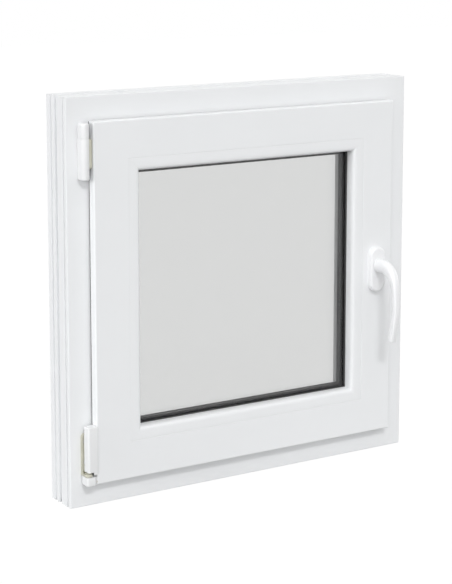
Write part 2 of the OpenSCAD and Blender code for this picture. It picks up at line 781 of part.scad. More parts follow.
module bead_section() {
  rear = glass_y - glazing_gasket_t;
  difference() {
    polygon(concat([
      [rear, joint_u + 0.1], [bead_foot_y[1] - 0.1, joint_u + 0.1], [bead_foot_y[1] - 0.1, joint_u - 2.4],
      [bead_foot_y[0] + 0.1, joint_u - 2.4], [bead_foot_y[0] + 0.1, joint_u + 0.1],
      [bead_top + 0.5, joint_u + 0.1]
    ], bead_crown, [[rear, bead_u - 0.6]]));
    strip(bead_top + 3.6, rear - 1.6, joint_u + 2, joint_u + 9);
  }
}

module glazing_bead_top() { color(white) seated() mitred_run("head") bead_section(); }

module glazing_bead_bottom() { color(white) seated() mitred_run("sill") bead_section(); }

module glazing_bead_hinge() { color(white) seated() mitred_run("hinge") bead_section(); }

module glazing_bead_lock() { color(white) seated() mitred_run("lock") bead_section(); }

module bead_gasket() {
  color(rubber_grey) seated() ring(glass_y - glazing_gasket_t, glass_y, bead_u - 7, bead_u - 1);
}

module outer_glazing_gasket() {
  color(rubber_grey) seated() ring(glass_y + unit_t, lip_y, bead_u - 8, bead_u - 1);
}

// ---------- hinge fittings on the sash ----------

bush_d = tilt_stud_d + 2.4;
bush_len = 13.5;

module tilt_bush() {
  color(zinc_beige) seated() difference() {
    rod_x(leaf_x + 0.1, leaf_x + bush_len, axis_y, tilt_z, bush_d);
    rod_x(leaf_x - eps, leaf_x + bush_len - 0.4 + eps, axis_y, tilt_z, tilt_stud_d + 2 * running_fit);
  }
}

band_x = [axis_x - 4.6, leaf_x];
band_left = 5; // reach of the band cover to the left of the turning axis
band_front = 9.8;
band_back = 6.4;
band_screw_z = [band_z0 + 15, band_z1 - 15];

// Outline about the turning axis; its rear stays within a circle, to turn clear of the bearing
module band_outline(inset) {
  right = leaf_x - axis_x - 0.1;
  translate([-band_left + inset, -band_front + inset]) square([band_left + right - 2 * inset, band_front - inset]);
  intersection() {
    circle(r = band_back - inset);
    translate([-band_left + inset, -eps]) square([band_left + right - 2 * inset, band_back]);
  }
  translate([0, -eps]) square([right - inset, band_back - inset]);
}

module hinge_band() {
  inset = cover_t + 0.2;
  color(zinc_beige) seated() difference() {
    union() {
      translate([axis_x, axis_y, band_z0 + 3]) linear_extrude(band_cover_h - 6) band_outline(inset);
      box([leaf_x - 3, axis_y - 4, band_z0 + 3], [leaf_x, axis_y + 6, band_z1 - 3]);
    }
    for (z = band_screw_z) {
      rod_x(axis_x - 8, leaf_x + eps, axis_y, z, 4.2);
      rod_x(axis_x - 8, axis_x, axis_y, z, 7.4);
    }
  }
}

module hinge_band_screws() {
  color(steel_grey) seated() for (z = band_screw_z) {
    rod_x(axis_x - 2.4, axis_x, axis_y, z, 7);
    rod_x(axis_x, leaf_x + 2 * wall - 0.3, axis_y, z, 3.1);
  }
}

module hinge_band_cover() {
  color(white) seated() difference() {
    translate([axis_x, axis_y, band_z0]) linear_extrude(band_cover_h) band_outline(0);
    translate([axis_x, axis_y, band_z0 + 2.8]) linear_extrude(band_cover_h - 5.6) band_outline(cover_t);
    box([leaf_x - 3.2, axis_y - 4.2, band_z0 + 2.8], [leaf_x + 1, axis_y + band_back, band_z1 - 2.8]);
  }
}

guide_beyond = 40; // length of the guide beyond the stud
guide_block = [30, 24]; // length of its block on both sides of the stud
guide_x = [-frame_w / 2 + channel_end, arm_right + guide_beyond];
slot_len = 22;
slot_w = stud_d + 2.6; // the stud leans in its slot as the sash tilts

// Rail in the top channel of the sash, with the slot that the stay's stud runs in
module stay_guide() {
  top = head_z(rebate_u);
  color(steel_grey) seated() difference() {
    union() {
      box([guide_x[0], channel_y - faceplate_w / 2, top - faceplate_t],
          [guide_x[1], channel_y + faceplate_w / 2, top]);
      box([arm_right - guide_block[0], channel_y - channel_w / 2 + 0.1, head_z(channel_u) + 0.2],
          [arm_right + guide_block[1], channel_y + channel_w / 2 - 0.1, top - faceplate_t + 0.5]);
    }
    slot(arm_right - 2 - slot_len / 2, arm_right - 2 + slot_len / 2, slot_w, stud_z0 - 2, top + eps);
  }
}

// ---------- drive ----------

slot_spare = 0.6; // beyond the travel of a cam, at both ends of its slot

// A faceplate drawn on the sill between x0 and x1, with slots for cams that move from x to x + dx, dx < 0
module faceplate(x0, x1, cams, dx) {
  difference() {
    box([x0, channel_y - faceplate_w / 2, rebate_u], [x1, channel_y + faceplate_w / 2, rebate_u + faceplate_t]);
    for (x = cams)
      slot(x + dx - slot_spare, x + slot_spare, cam_stem_d + 1, rebate_u - eps, rebate_u + faceplate_t + eps);
    for (x = [x0 + 8, x1 - 8]) translate([x, channel_y, rebate_u - eps]) cylinder(h = faceplate_t + 2 * eps, d = 4);
  }
}

module faceplate_pilots(x0, x1) {
  for (x = [x0 + 8, x1 - 8]) rod_z(channel_u - eps, sash_steel_u[0] + eps, x, channel_y, 3.8 + 2 * screw_fit);
}

module faceplate_screw_pair(x0, x1) {
  end = -1.2 - seat_depth - channel_depth - 1; // the tips stop short of the steel bar
  for (x = [x0 + 8, x1 - 8]) translate([x, channel_y, rebate_u - 1.2])
    rotate([180, 0, 0]) rotate_extrude() polygon([
      [0, 0], [2.4, 0], [3.2, -0.8], [3.2, -1.2], [1.9, -1.2], [1.9, end], [0, end - 1.5]
    ]);
}

plate_half_h = frame_h / 2 - channel_end;
plate_right = frame_w / 2 - channel_end;
bottom_plate_len = 200;
plate_left = plate_right - bottom_plate_len;
top_plate_left = guide_x[1] + 0.2;

module faceplate_lock() {
  color(steel_grey) seated() on_side("lock")
    faceplate(-plate_half_h, plate_half_h, [-cam_offset, cam_offset], -travel);
}

module faceplate_top() {
  color(steel_grey) seated() on_side("head") faceplate(-plate_right, -top_plate_left, [-top_cam_x], -travel);
}

module faceplate_bottom() {
  color(steel_grey) seated() on_side("sill") faceplate(plate_left, plate_right, [bottom_cam_x], -travel);
}

module faceplate_screws() {
  color(steel_grey) seated() {
    on_side("lock") faceplate_screw_pair(-plate_half_h, plate_half_h);
    on_side("head") faceplate_screw_pair(-plate_right, -top_plate_left);
    on_side("sill") faceplate_screw_pair(plate_left, plate_right);
  }
}

// Angle pieces that turn the drive round the two corners on the lock side
module corner_drive() {
  x0 = frame_w / 2 - channel_end;
  x1 = frame_w / 2 - rebate_u;
  y0 = channel_y - faceplate_w / 2;
  y1 = channel_y + faceplate_w / 2;
  box([x0 + 0.2, y0, rebate_u], [x1, y1, rebate_u + faceplate_t]);
  box([x1 - faceplate_t, y0, rebate_u], [x1, y1, channel_end - 0.2]);
  box([x1 - seat_depth - channel_depth, channel_y - channel_w / 2 + 0.1, rebate_u + faceplate_t],
      [x1 - faceplate_t, channel_y + channel_w / 2 - 0.1, rebate_u + seat_depth + channel_depth]);
}

module corner_drives() {
  color(steel_grey) seated() {
    corner_drive();
    translate([0, 0, frame_h]) mirror([0, 0, 1]) corner_drive();
  }
}

// Half the angle that a tooth takes at radius r
function tooth_half_angle(r) =
  let (a = acos(min(1, pitch_r * cos(pressure_angle) / r)))
  90 / pinion_teeth - backlash / 4 / pitch_r * 180 / PI
  + (tan(pressure_angle) * 180 / PI - pressure_angle) - (tan(a) * 180 / PI - a);

module pinion_outline() {
  root_r = pitch_r - 1.15 * tooth_module;
  tip_r = pitch_r + 0.85 * tooth_module;
  start_r = max(root_r, pitch_r * cos(pressure_angle));
  steps = 4;
  flank = [for (i = [0:steps]) start_r + (tip_r - start_r) * i / steps];
  points = [for (k = [0:pinion_teeth - 1]) let (middle = 360 * (k + 0.5) / pinion_teeth) each concat(
    [[root_r, middle - tooth_half_angle(start_r)]],
    [for (r = flank) [r, middle - tooth_half_angle(r)]],
    [for (i = [steps:-1:0]) [flank[i], middle + tooth_half_angle(flank[i])]],
    [[root_r, middle + tooth_half_angle(start_r)]])];
  polygon([for (p = points) [p[0] * cos(p[1]), p[0] * sin(p[1])]]);
}

pinion_y = [channel_y - pinion_t / 2, channel_y + pinion_t / 2];

module pinion() {
  color(steel_grey) seated() translate([spindle_x, pinion_y[1], spindle_z]) rotate([90, 0, 0])
    linear_extrude(pinion_t) difference() {
      pinion_outline();
      square(spindle_side, center = true);
    }
}

rack_x = [pitch_x + 1.15 * tooth_module, lock_x(rod_u)]; // from the roots of the teeth to the rod's face
rack_z = [spindle_z - 4 * tooth_pitch, spindle_z + travel + 4 * tooth_pitch];
screw_clear = 16; // a rod ends this far from the end of its faceplate
rod_z_span = [channel_end + travel + screw_clear, frame_h - channel_end - screw_clear];

// Rack beside the pinion, with a gap between teeth at the height of the axis at rest
module rack() {
  lean = tan(pressure_angle);
  half = tooth_pitch / 4 - backlash / 4;
  tip = 0.85 * tooth_module;
  root = rack_x[0] - pitch_x;
  box([rack_x[0] - eps, pinion_y[0], rack_z[0]], [rack_x[1], pinion_y[1], rack_z[1]]);
  first = ceil((rack_z[0] - spindle_z) / tooth_pitch);
  last = floor((rack_z[1] - spindle_z) / tooth_pitch);
  for (k = [first + 1:last - 1])
    translate([pitch_x, pinion_y[1], spindle_z + k * tooth_pitch]) rotate([90, 0, 0])
      linear_extrude(pinion_t) polygon([
        [root, -half - root * lean], [-tip, -half + tip * lean], [-tip, half - tip * lean],
        [root, half + root * lean]
      ]);
}

module lock_rod() {
  y0 = channel_y - rod_w / 2;
  y1 = channel_y + rod_w / 2;
  color(steel_grey) seated() {
    rack();
    box([lock_x(rod_u + rod_t), y0, rack_z[1] - 1], [lock_x(rod_u), y1, rod_z_span[1]]);
    box([lock_x(rod_u + rod_t), y0, rod_z_span[0]], [lock_x(rod_u), y1, rack_z[0] + 1]);
  }
}

// Mushroom cam drawn on the sill at x = 0, from the rod outwards to its head
module cam() {
  translate([0, channel_y, cam_head_u]) {
    cylinder(h = cam_head_t, d = cam_head_d);
    cylinder(h = rod_u - cam_head_u, d = cam_stem_d);
  }
}

module lock_cams() {
  color(steel_grey) seated() on_side("lock") for (x = [-cam_offset, cam_offset]) translate([x, 0, 0]) cam();
}

module top_rod() {
  z1 = head_z(rod_u);
  color(steel_grey) seated() {
    box([top_plate_left + screw_clear, channel_y - rod_w / 2, z1 - rod_t],
        [plate_right - travel - screw_clear, channel_y + rod_w / 2, z1]);
    translate([top_cam_x, 0, frame_h]) rotate([0, 180, 0]) cam();
  }
}

module bottom_rod() {
  color(steel_grey) seated() {
    box([plate_left + travel + screw_clear, channel_y - rod_w / 2, rod_u],
        [plate_right - screw_clear, channel_y + rod_w / 2, rod_u + rod_t]);
    translate([bottom_cam_x, 0, 0]) cam();
  }
}

// Case of the gear, open towards the rack
module gearbox_case() {
  y0 = channel_y - channel_w / 2 + 0.1;
  y1 = channel_y + channel_w / 2 - 0.1;
  color(steel_grey) seated() difference() {
    box([gear_x[0], y0, spindle_z - gear_half], [gear_x[1], y1, spindle_z + gear_half]);
    rod_y(pinion_y[0] - 0.4, pinion_y[1] + 0.4, spindle_x, spindle_z, 2 * (pitch_r + tooth_module) + 0.8);
    rod_y(y0 - eps, y1 + eps, spindle_x, spindle_z, spindle_side * sqrt(2) + 0.8);
    for (z = screw_z) rod_y(y0 - eps, y1 + eps, spindle_x, z, 5);
  }
}

// ---------- handle ----------

module stadium(w, h) {
  translate([0, (h - w) / 2]) circle(d = w);
  translate([0, (w - h) / 2]) circle(d = w);
  translate([-w / 2, (w - h) / 2]) square([w, h - w]);
}

module on_spindle(y) { translate([spindle_x, y, spindle_z]) rotate([90, 0, 0]) children(); }

module handle_base() {
  color(zinc_beige) seated() difference() {
    on_spindle(sash_front) linear_extrude(base_t) stadium(rosette_w - 4, rosette_h - 4);
    rod_y(sash_front - base_t - eps, sash_front + eps, spindle_x, spindle_z, journal_d + 2 * running_fit);
    for (z = screw_z) rod_y(sash_front - base_t - eps, sash_front + eps, spindle_x, z, 5.4);
  }
}

module rosette_cover() {
  shell = 1.6;
  color(white) seated() difference() {
    union() {
      on_spindle(sash_front) linear_extrude(rosette_out - 2) stadium(rosette_w, rosette_h);
      on_spindle(sash_front) linear_extrude(rosette_out) stadium(rosette_w - 4, rosette_h - 4);
    }
    on_spindle(sash_front + eps) linear_extrude(base_t + 3) stadium(rosette_w - 2 * shell, rosette_h - 2 * shell);
    rod_y(seat_face - eps, sash_front, spindle_x, spindle_z, journal_d + 0.8);
  }
}

module handle_screws() {
  color(steel_grey) seated() for (z = screw_z) translate([spindle_x, sash_front - base_t, z]) rotate([90, 0, 0])
    rotate_extrude() polygon([
      [0, 2.6], [3.2, 2.6], [4.4, 1.4], [4.4, 0], [2.45, 0],
      [2.45, sash_front - base_t - pinion_y[1]], [0, sash_front - base_t - pinion_y[1] - 1]
    ]);
}

// Stations of the lever: distance out from the sash, distance below the axis, half width, half thickness
grip_half = grip_w / 2;
lever_stations = [
  [rosette_out + touch_gap, -6.4, 9.6, 10.6],
  [rosette_out + 9, -7.2, 8.8, 11.2],
  [grip_out - 27, -6.4, 8, 10.9],
  [grip_out - 18, -2.7, 7.4, 10],
  [grip_out - 10, 4.5, grip_half + 1, 8.2],
  [grip_out - 5.2, 12.5, grip_half + 0.5, 6.7],
  [grip_out - 2.2, 23.5, grip_half + 0.2, 5.7],
  [grip_out - 0.8, 36, grip_half, 5.3],
  [grip_out - 0.2, 49, grip_half, 5.3],
  [grip_out - 0.6, grip_drop - 47, grip_half, 5.3],
  [grip_out - 2.1, grip_drop - 33.5, grip_half, 5.4],
  [grip_out - 5.5, grip_drop - 17.5, grip_half, 5.7],
  [grip_out - 8.2, grip_drop - 6.5, grip_half - 0.1, 5.7],
  [grip_out - 9.4, grip_drop - 1.5, grip_half - 0.5, 5.4],
  [grip_out - 9.8, grip_drop, grip_half - 1.8, 4.2]
];
ring_points = 20;

function station_heading(i) =
  let (n = len(lever_stations), a = lever_stations[max(0, i - 1)], b = lever_stations[min(n - 1, i + 1)])
  i == 0 ? 0 : atan2(b[1] - a[1], b[0] - a[0]);

// Rounded section: a superellipse with flattened sides
function ring_point(k) = let (a = 360 * k / ring_points, c = cos(a), s = sin(a))
  [sign(c) * pow(abs(c), 0.7), sign(s) * pow(abs(s), 0.7)];

module lever_body() {
  n = len(lever_stations);
  points = [for (i = [0:n - 1]) let (p = lever_stations[i], h = station_heading(i))
    each [for (k = [0:ring_points - 1]) let (q = ring_point(k))
      [spindle_x + p[2] * q[0],
       sash_front - p[0] - p[3] * q[1] * sin(h),
       spindle_z - p[1] + p[3] * q[1] * cos(h)]]];
  sides = [for (i = [0:n - 2], k = [0:ring_points - 1]) let (m = (k + 1) % ring_points)
    each [[i * ring_points + k, (i + 1) * ring_points + m, i * ring_points + m],
          [i * ring_points + k, (i + 1) * ring_points + k, (i + 1) * ring_points + m]]];
  near = [[for (k = [0:ring_points - 1]) k]];
  far = [[for (k = [ring_points - 1:-1:0]) (n - 1) * ring_points + k]];
  polyhedron(points, concat(sides, near, far));
}

journal_back = sash_front - 0.4;

module handle_lever() {
  color(white) seated() difference() {
    union() {
      lever_body();
      rod_y(seat_face - touch_gap - 1, journal_back, spindle_x, spindle_z, journal_d);
    }
    translate([spindle_x - spindle_side / 2, spindle_y0, spindle_z - spindle_side / 2])
      cube([spindle_side, -spindle_y0, spindle_side]);
  }
}

spindle_y0 = seat_face - 12;

module spindle() {
  color(steel_grey) seated() box(
    [spindle_x - spindle_side / 2, spindle_y0, spindle_z - spindle_side / 2],
    [spindle_x + spindle_side / 2, pinion_y[1] + 1, spindle_z + spindle_side / 2]);
}

frame_head();
frame_sill();
frame_hinge_jamb();
frame_lock_jamb();
frame_steel_bars();
frame_stop_gasket();
drain_caps();
striker_plates();
tilt_keep();
keep_screws();
corner_bearing();
corner_bearing_screws();
stay_bearing();
stay_bearing_screws();
stay_bearing_cover();
stay_pin();
pivot_yoke();
pivot_cap();
stay_arm();
stay_stud();
stay_knuckle_cover();
sash_top_rail();
sash_bottom_rail();
sash_hinge_stile();
sash_lock_stile();
sash_steel_bars();
overlap_gasket();
inner_pane();
outer_pane();
spacer_bar();
edge_seal();
setting_blocks();
glazing_bead_top();
glazing_bead_bottom();
glazing_bead_hinge();
glazing_bead_lock();
bead_gasket();
outer_glazing_gasket();
tilt_bush();
hinge_band();
hinge_band_screws();
hinge_band_cover();
stay_guide();
faceplate_lock();
faceplate_top();
faceplate_bottom();
faceplate_screws();
corner_drives();
gearbox_case();
handle_base();
rosette_cover();
handle_screws();
handle_lever();
spindle();
pinion();
lock_rod();
lock_cams();
top_rod();
bottom_rod();
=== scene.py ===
import bmesh
import bpy
import json
import math
from mathutils import Matrix, Vector


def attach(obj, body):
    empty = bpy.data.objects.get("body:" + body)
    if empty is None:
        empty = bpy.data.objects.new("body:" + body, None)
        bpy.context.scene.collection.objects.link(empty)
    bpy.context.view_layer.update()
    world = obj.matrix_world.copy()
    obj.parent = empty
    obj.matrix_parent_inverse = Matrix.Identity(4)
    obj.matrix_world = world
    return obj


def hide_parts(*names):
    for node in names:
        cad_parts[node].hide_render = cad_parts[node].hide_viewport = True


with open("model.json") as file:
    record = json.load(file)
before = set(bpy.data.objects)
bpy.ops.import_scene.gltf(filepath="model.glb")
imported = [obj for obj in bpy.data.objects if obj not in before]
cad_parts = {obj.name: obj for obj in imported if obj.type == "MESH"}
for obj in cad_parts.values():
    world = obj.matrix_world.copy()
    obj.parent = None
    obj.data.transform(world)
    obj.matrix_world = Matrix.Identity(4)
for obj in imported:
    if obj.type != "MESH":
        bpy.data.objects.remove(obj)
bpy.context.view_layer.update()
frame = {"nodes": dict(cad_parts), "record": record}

# Sizes are in millimetres, with Y measured from the room face of the frame.
# A distance called u runs inwards from the outer edge of the frame, on all four sides.
mm = 0.001
seatY = 19.5  # the origin lies this far behind the room face
window = {"width": 600, "height": 600}


def at(x, y, z):
    return Vector((x * mm, (y - seatY) * mm, z * mm))


def lockX(u):
    return window["width"] / 2 - u


def headZ(u):
    return window["height"] - u


def newObject(name, data):
    thing = bpy.data.objects.new(name, data)
    bpy.context.scene.collection.objects.link(thing)
    return thing


# ---------- camera ----------

# The place is in metres, the turns are in degrees, and the rise is a share of the picture
view = {"place": (-1.3943, -2.1764, 0.8549), "turn": 32.244, "down": 8.62, "lens": 106.66,
        "sensor": 36, "rise": -0.2}
cameraData = bpy.data.cameras.new("camera")
cameraData.sensor_width = view["sensor"]
cameraData.lens = view["lens"]
cameraData.shift_y = view["rise"]
camera = newObject("camera", cameraData)
camera.location = view["place"]
camera.rotation_euler = (math.radians(90 - view["down"]), 0, math.radians(-view["turn"]))
bpy.context.scene.camera = camera
print("camera placed")


# ---------- materials ----------

# Noise scales are per metre and bump depths are in metres
noiseSpan = (0.3, 0.7)  # nearly all of a noise lies in here
plastic = {"cloud": 9, "skin": 700, "lines": 1400, "depth": 0.0002, "ior": 1.5}
metal = {"finer": 14, "bump": 0.12, "depth": 0.0001}
spangle = {"cells": 260, "low": (0.58, 0.60, 0.62), "high": (0.72, 0.74, 0.76), "rough": (0.28, 0.42)}
rubber = {"skin": 900, "rough": (0.5, 0.65), "bump": 0.1, "depth": 0.0001}
glass = {"tint": (0.812, 0.815, 0.813), "ior": 1.5, "wave": 4, "bump": 0.02, "depth": 0.0003}


def newMaterial(name):
    material = bpy.data.materials.new(name)
    material.use_nodes = True
    nodes = material.node_tree.nodes
    return material, material.node_tree, nodes["Principled BSDF"]


def setInputs(node, **values):
    for name, value in values.items():
        node.inputs[name.replace("_", " ")].default_value = value


def addNode(tree, kind, inputs=None, **settings):
    node = tree.nodes.new(kind)
    for name, value in settings.items():
        setattr(node, name, value)
    for name, value in (inputs or {}).items():
        if isinstance(value, bpy.types.NodeSocket):
            tree.links.new(value, node.inputs[name])
        else:
            node.inputs[name].default_value = value
    return node


def noiseOn(tree, scale, stretch=(1, 1, 1), detail=3):
    place = addNode(tree, "ShaderNodeTexCoord")
    mapping = addNode(tree, "ShaderNodeMapping", {"Vector": place.outputs["Object"], "Scale": stretch})
    return addNode(tree, "ShaderNodeTexNoise",
                   {"Vector": mapping.outputs["Vector"], "Scale": scale, "Detail": detail})


def ramp(tree, factor, low, high):
    # a colour between low and high
    node = addNode(tree, "ShaderNodeValToRGB", {"Fac": factor})
    node.color_ramp.elements[0].position = noiseSpan[0]
    node.color_ramp.elements[1].position = noiseSpan[1]
    node.color_ramp.elements[0].color = (*low, 1)
    node.color_ramp.elements[1].color = (*high, 1)
    return node.outputs["Color"]


def spread(tree, factor, low, high):
    # a value between low and high
    node = addNode(tree, "ShaderNodeMapRange", {"Value": factor, "From Min": noiseSpan[0],
                                                "From Max": noiseSpan[1], "To Min": low, "To Max": high})
    return node.outputs["Result"]


def bump(tree, height, strength, depth):
    node = addNode(tree, "ShaderNodeBump", {"Height": height, "Strength": strength, "Distance": depth})
    return node.outputs["Normal"]


def plasticMaterial(name, low, high, rough, grain, streak=None):
    # white plastic: a breath of colour change, satin gloss, and a fine skin or extrusion lines
    material, tree, shader = newMaterial(name)
    broad = noiseOn(tree, plastic["cloud"])
    tree.links.new(ramp(tree, broad.outputs["Fac"], low, high), shader.inputs["Base Color"])
    fine = noiseOn(tree, plastic["lines"] if streak else plastic["skin"], streak or (1, 1, 1), 2)
    tree.links.new(spread(tree, fine.outputs["Fac"], *rough), shader.inputs["Roughness"])
    tree.links.new(bump(tree, fine.outputs["Fac"], grain, plastic["depth"]), shader.inputs["Normal"])
    setInputs(shader, IOR=plastic["ior"])
    return material


def metalMaterial(name, low, high, rough, scale, stretch=(1, 1, 1), metallic=1):
    material, tree, shader = newMaterial(name)
    cloud = noiseOn(tree, scale, stretch)
    tree.links.new(ramp(tree, cloud.outputs["Fac"], low, high), shader.inputs["Base Color"])
    fine = noiseOn(tree, scale * metal["finer"], stretch, 2)
    tree.links.new(spread(tree, fine.outputs["Fac"], *rough), shader.inputs["Roughness"])
    relief = bump(tree, fine.outputs["Fac"], metal["bump"], metal["depth"])
    tree.links.new(relief, shader.inputs["Normal"])
    setInputs(shader, Metallic=metallic)
    return material


def galvanisedMaterial(name):
    # zinc spangle: cells of slightly different grey and gloss
    material, tree, shader = newMaterial(name)
    place = addNode(tree, "ShaderNodeTexCoord")
    cells = addNode(tree, "ShaderNodeTexVoronoi",
                    {"Vector": place.outputs["Object"], "Scale": spangle["cells"]})
    grey = addNode(tree, "ShaderNodeSeparateColor", {"Color": cells.outputs["Color"]}).outputs["Red"]
    tree.links.new(ramp(tree, grey, spangle["low"], spangle["high"]), shader.inputs["Base Color"])
    tree.links.new(spread(tree, grey, *spangle["rough"]), shader.inputs["Roughness"])
    setInputs(shader, Metallic=1)
    return material


def rubberMaterial(name, low, high):
    material, tree, shader = newMaterial(name)
    fine = noiseOn(tree, rubber["skin"], detail=2)
    tree.links.new(ramp(tree, fine.outputs["Fac"], low, high), shader.inputs["Base Color"])
    tree.links.new(spread(tree, fine.outputs["Fac"], *rubber["rough"]), shader.inputs["Roughness"])
    relief = bump(tree, fine.outputs["Fac"], rubber["bump"], rubber["depth"])
    tree.links.new(relief, shader.inputs["Normal"])
    return material


def glassMaterial(name):
    # float glass: clear, with the faintest waviness
    material, tree, shader = newMaterial(name)
    setInputs(shader, Base_Color=(*glass["tint"], 1), Transmission_Weight=1, Roughness=0, IOR=glass["ior"])
    wave = noiseOn(tree, glass["wave"], detail=1)
    relief = bump(tree, wave.outputs["Fac"], glass["bump"], glass["depth"])
    tree.links.new(relief, shader.inputs["Normal"])
    return material


# The extrusion lines run along each member, so its noise is stretched that way
upvc = {"low": (0.835, 0.845, 0.855), "high": (0.85, 0.86, 0.87), "rough": (0.3, 0.36), "grain": 0.01}
look = {
    "upvcAcross": plasticMaterial("upvc across", **upvc, streak=(0.004, 1, 1)),
    "upvcUp": plasticMaterial("upvc up", **upvc, streak=(1, 1, 0.004)),
    "cap": plasticMaterial("moulded white", (0.795, 0.80, 0.805), (0.81, 0.815, 0.82), (0.28, 0.34), 0.05),
    "handle": plasticMaterial("handle white", (0.845, 0.85, 0.86), (0.86, 0.865, 0.875), (0.26, 0.32),
                              0.06),
    "zinc": metalMaterial("zinc plating", (0.53, 0.52, 0.43), (0.62, 0.61, 0.52), (0.34, 0.46), 60,
                          metallic=0.6),
    "steel": metalMaterial("bright steel", (0.62, 0.63, 0.65), (0.72, 0.73, 0.745), (0.25, 0.36), 80,
                           (0.2, 1, 0.2)),
    "galvanised": galvanisedMaterial("galvanised steel"),
    "rubber": rubberMaterial("gasket rubber", (0.036, 0.036, 0.037), (0.048, 0.048, 0.049)),
    "spacer": rubberMaterial("spacer black", (0.057, 0.058, 0.060), (0.075, 0.076, 0.078)),
    "seal": rubberMaterial("edge sealant", (0.008, 0.008, 0.008), (0.012, 0.012, 0.012)),
    "block": rubberMaterial("setting block", (0.05, 0.09, 0.12), (0.07, 0.11, 0.14)),
    "glass": glassMaterial("clear glass"),
}
print("materials made:", len(look))


# ---------- making pieces ----------

def finishMesh(mesh, angle=30):
    mesh.shade_smooth()
    mesh.set_sharp_from_angle(angle=math.radians(angle))


def addPiece(name, mesh, material, body, nodes=()):
    piece = newObject(name, mesh)
    mesh.materials.clear()
    mesh.materials.append(look[material])
    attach(piece, body)
    if nodes:
        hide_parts(*nodes)
    return piece


def meshOf(name, shape):
    mesh = bpy.data.meshes.new(name)
    shape.to_mesh(mesh)
    shape.free()
    return mesh


def evaluatedMesh(thing):
    # the plain mesh that an object's modifiers make
    bpy.context.view_layer.update()
    graph = bpy.context.evaluated_depsgraph_get()
    return bpy.data.meshes.new_from_object(thing.evaluated_get(graph))


def meshFrom(name, points, faces, angle=30):
    shape = bmesh.new()
    corners = [shape.verts.new(p) for p in points]
    for face in faces:
        shape.faces.new([corners[i] for i in face])
    bmesh.ops.recalc_face_normals(shape, faces=shape.faces)
    mesh = meshOf(name, shape)
    finishMesh(mesh, angle)
    return mesh


def rounded(corners, steps=5, support=0.15):
    # an outline with an arc at each corner (a, b, radius) and a support point beside each arc
    outline = []
    count = len(corners)
    for i, (a, b, radius) in enumerate(corners):
        here = Vector((a, b))
        back = (Vector(corners[i - 1][:2]) - here).normalized()
        ahead = (Vector(corners[(i + 1) % count][:2]) - here).normalized()
        if radius <= 0:
            outline.append(here)
            continue
        half = back.angle(ahead) / 2
        cut = radius / math.tan(half)
        middle = here + (back + ahead).normalized() * (radius / math.sin(half))
        start, end = here + back * cut - middle, here + ahead * cut - middle
        sweep = start.angle_signed(end)  # positive is clockwise
        outline.append(here + back * (cut + support))
        for k in range(steps + 1):
            c, s = math.cos(-sweep * k / steps), math.sin(-sweep * k / steps)
            outline.append(middle + Vector((start.x * c - start.y * s, start.x * s + start.y * c)))
        outline.append(here + ahead * (cut + support))
    return outline


def counterclockwise(outline):
    area = sum(p.x * q.y - q.x * p.y for p, q in zip(outline, outline[1:] + outline[:1]))
    return outline if area > 0 else outline[::-1]


def sectionMesh(name, outline):
    # one flat face in the plane x = 0, with depth along Y and u along Z
    points = [(0, (p.x - seatY) * mm, p.y * mm) for p in counterclockwise(outline)]
    mesh = bpy.data.meshes.new(name)
    mesh.from_pydata(points, [], [list(range(len(points)))])
    return mesh


def evaluated(mesh, tree, values):
    # the plain mesh that a node tree makes of a mesh
    holder = newObject("holder", mesh)
    modifier = holder.modifiers.new("nodes", "NODES")
    modifier.node_group = tree
    for item in tree.interface.items_tree:
        if item.in_out == "INPUT" and item.name in values:
            modifier[item.identifier] = values[item.name]
    result = evaluatedMesh(holder)
    bpy.data.objects.remove(holder)
    return result


def newTree(name, inputs):
    tree = bpy.data.node_groups.new(name, "GeometryNodeTree")
    tree.is_modifier = True
    for label, kind in inputs:
        tree.interface.new_socket(name=label, in_out="INPUT", socket_type="NodeSocket" + kind)
    tree.interface.new_socket(name="Geometry", in_out="OUTPUT", socket_type="NodeSocketGeometry")
    given = tree.nodes.new("NodeGroupInput").outputs
    return tree, given


def endTree(tree, geometry, material):
    real = addNode(tree, "GeometryNodeRealizeInstances", {"Geometry": geometry})
    painted = addNode(tree, "GeometryNodeSetMaterial", {"Geometry": real.outputs[0], "Material": material})
    out = tree.nodes.new("NodeGroupOutput")
    tree.links.new(painted.outputs[0], out.inputs[0])
    return tree


weld = 1e-6  # metres


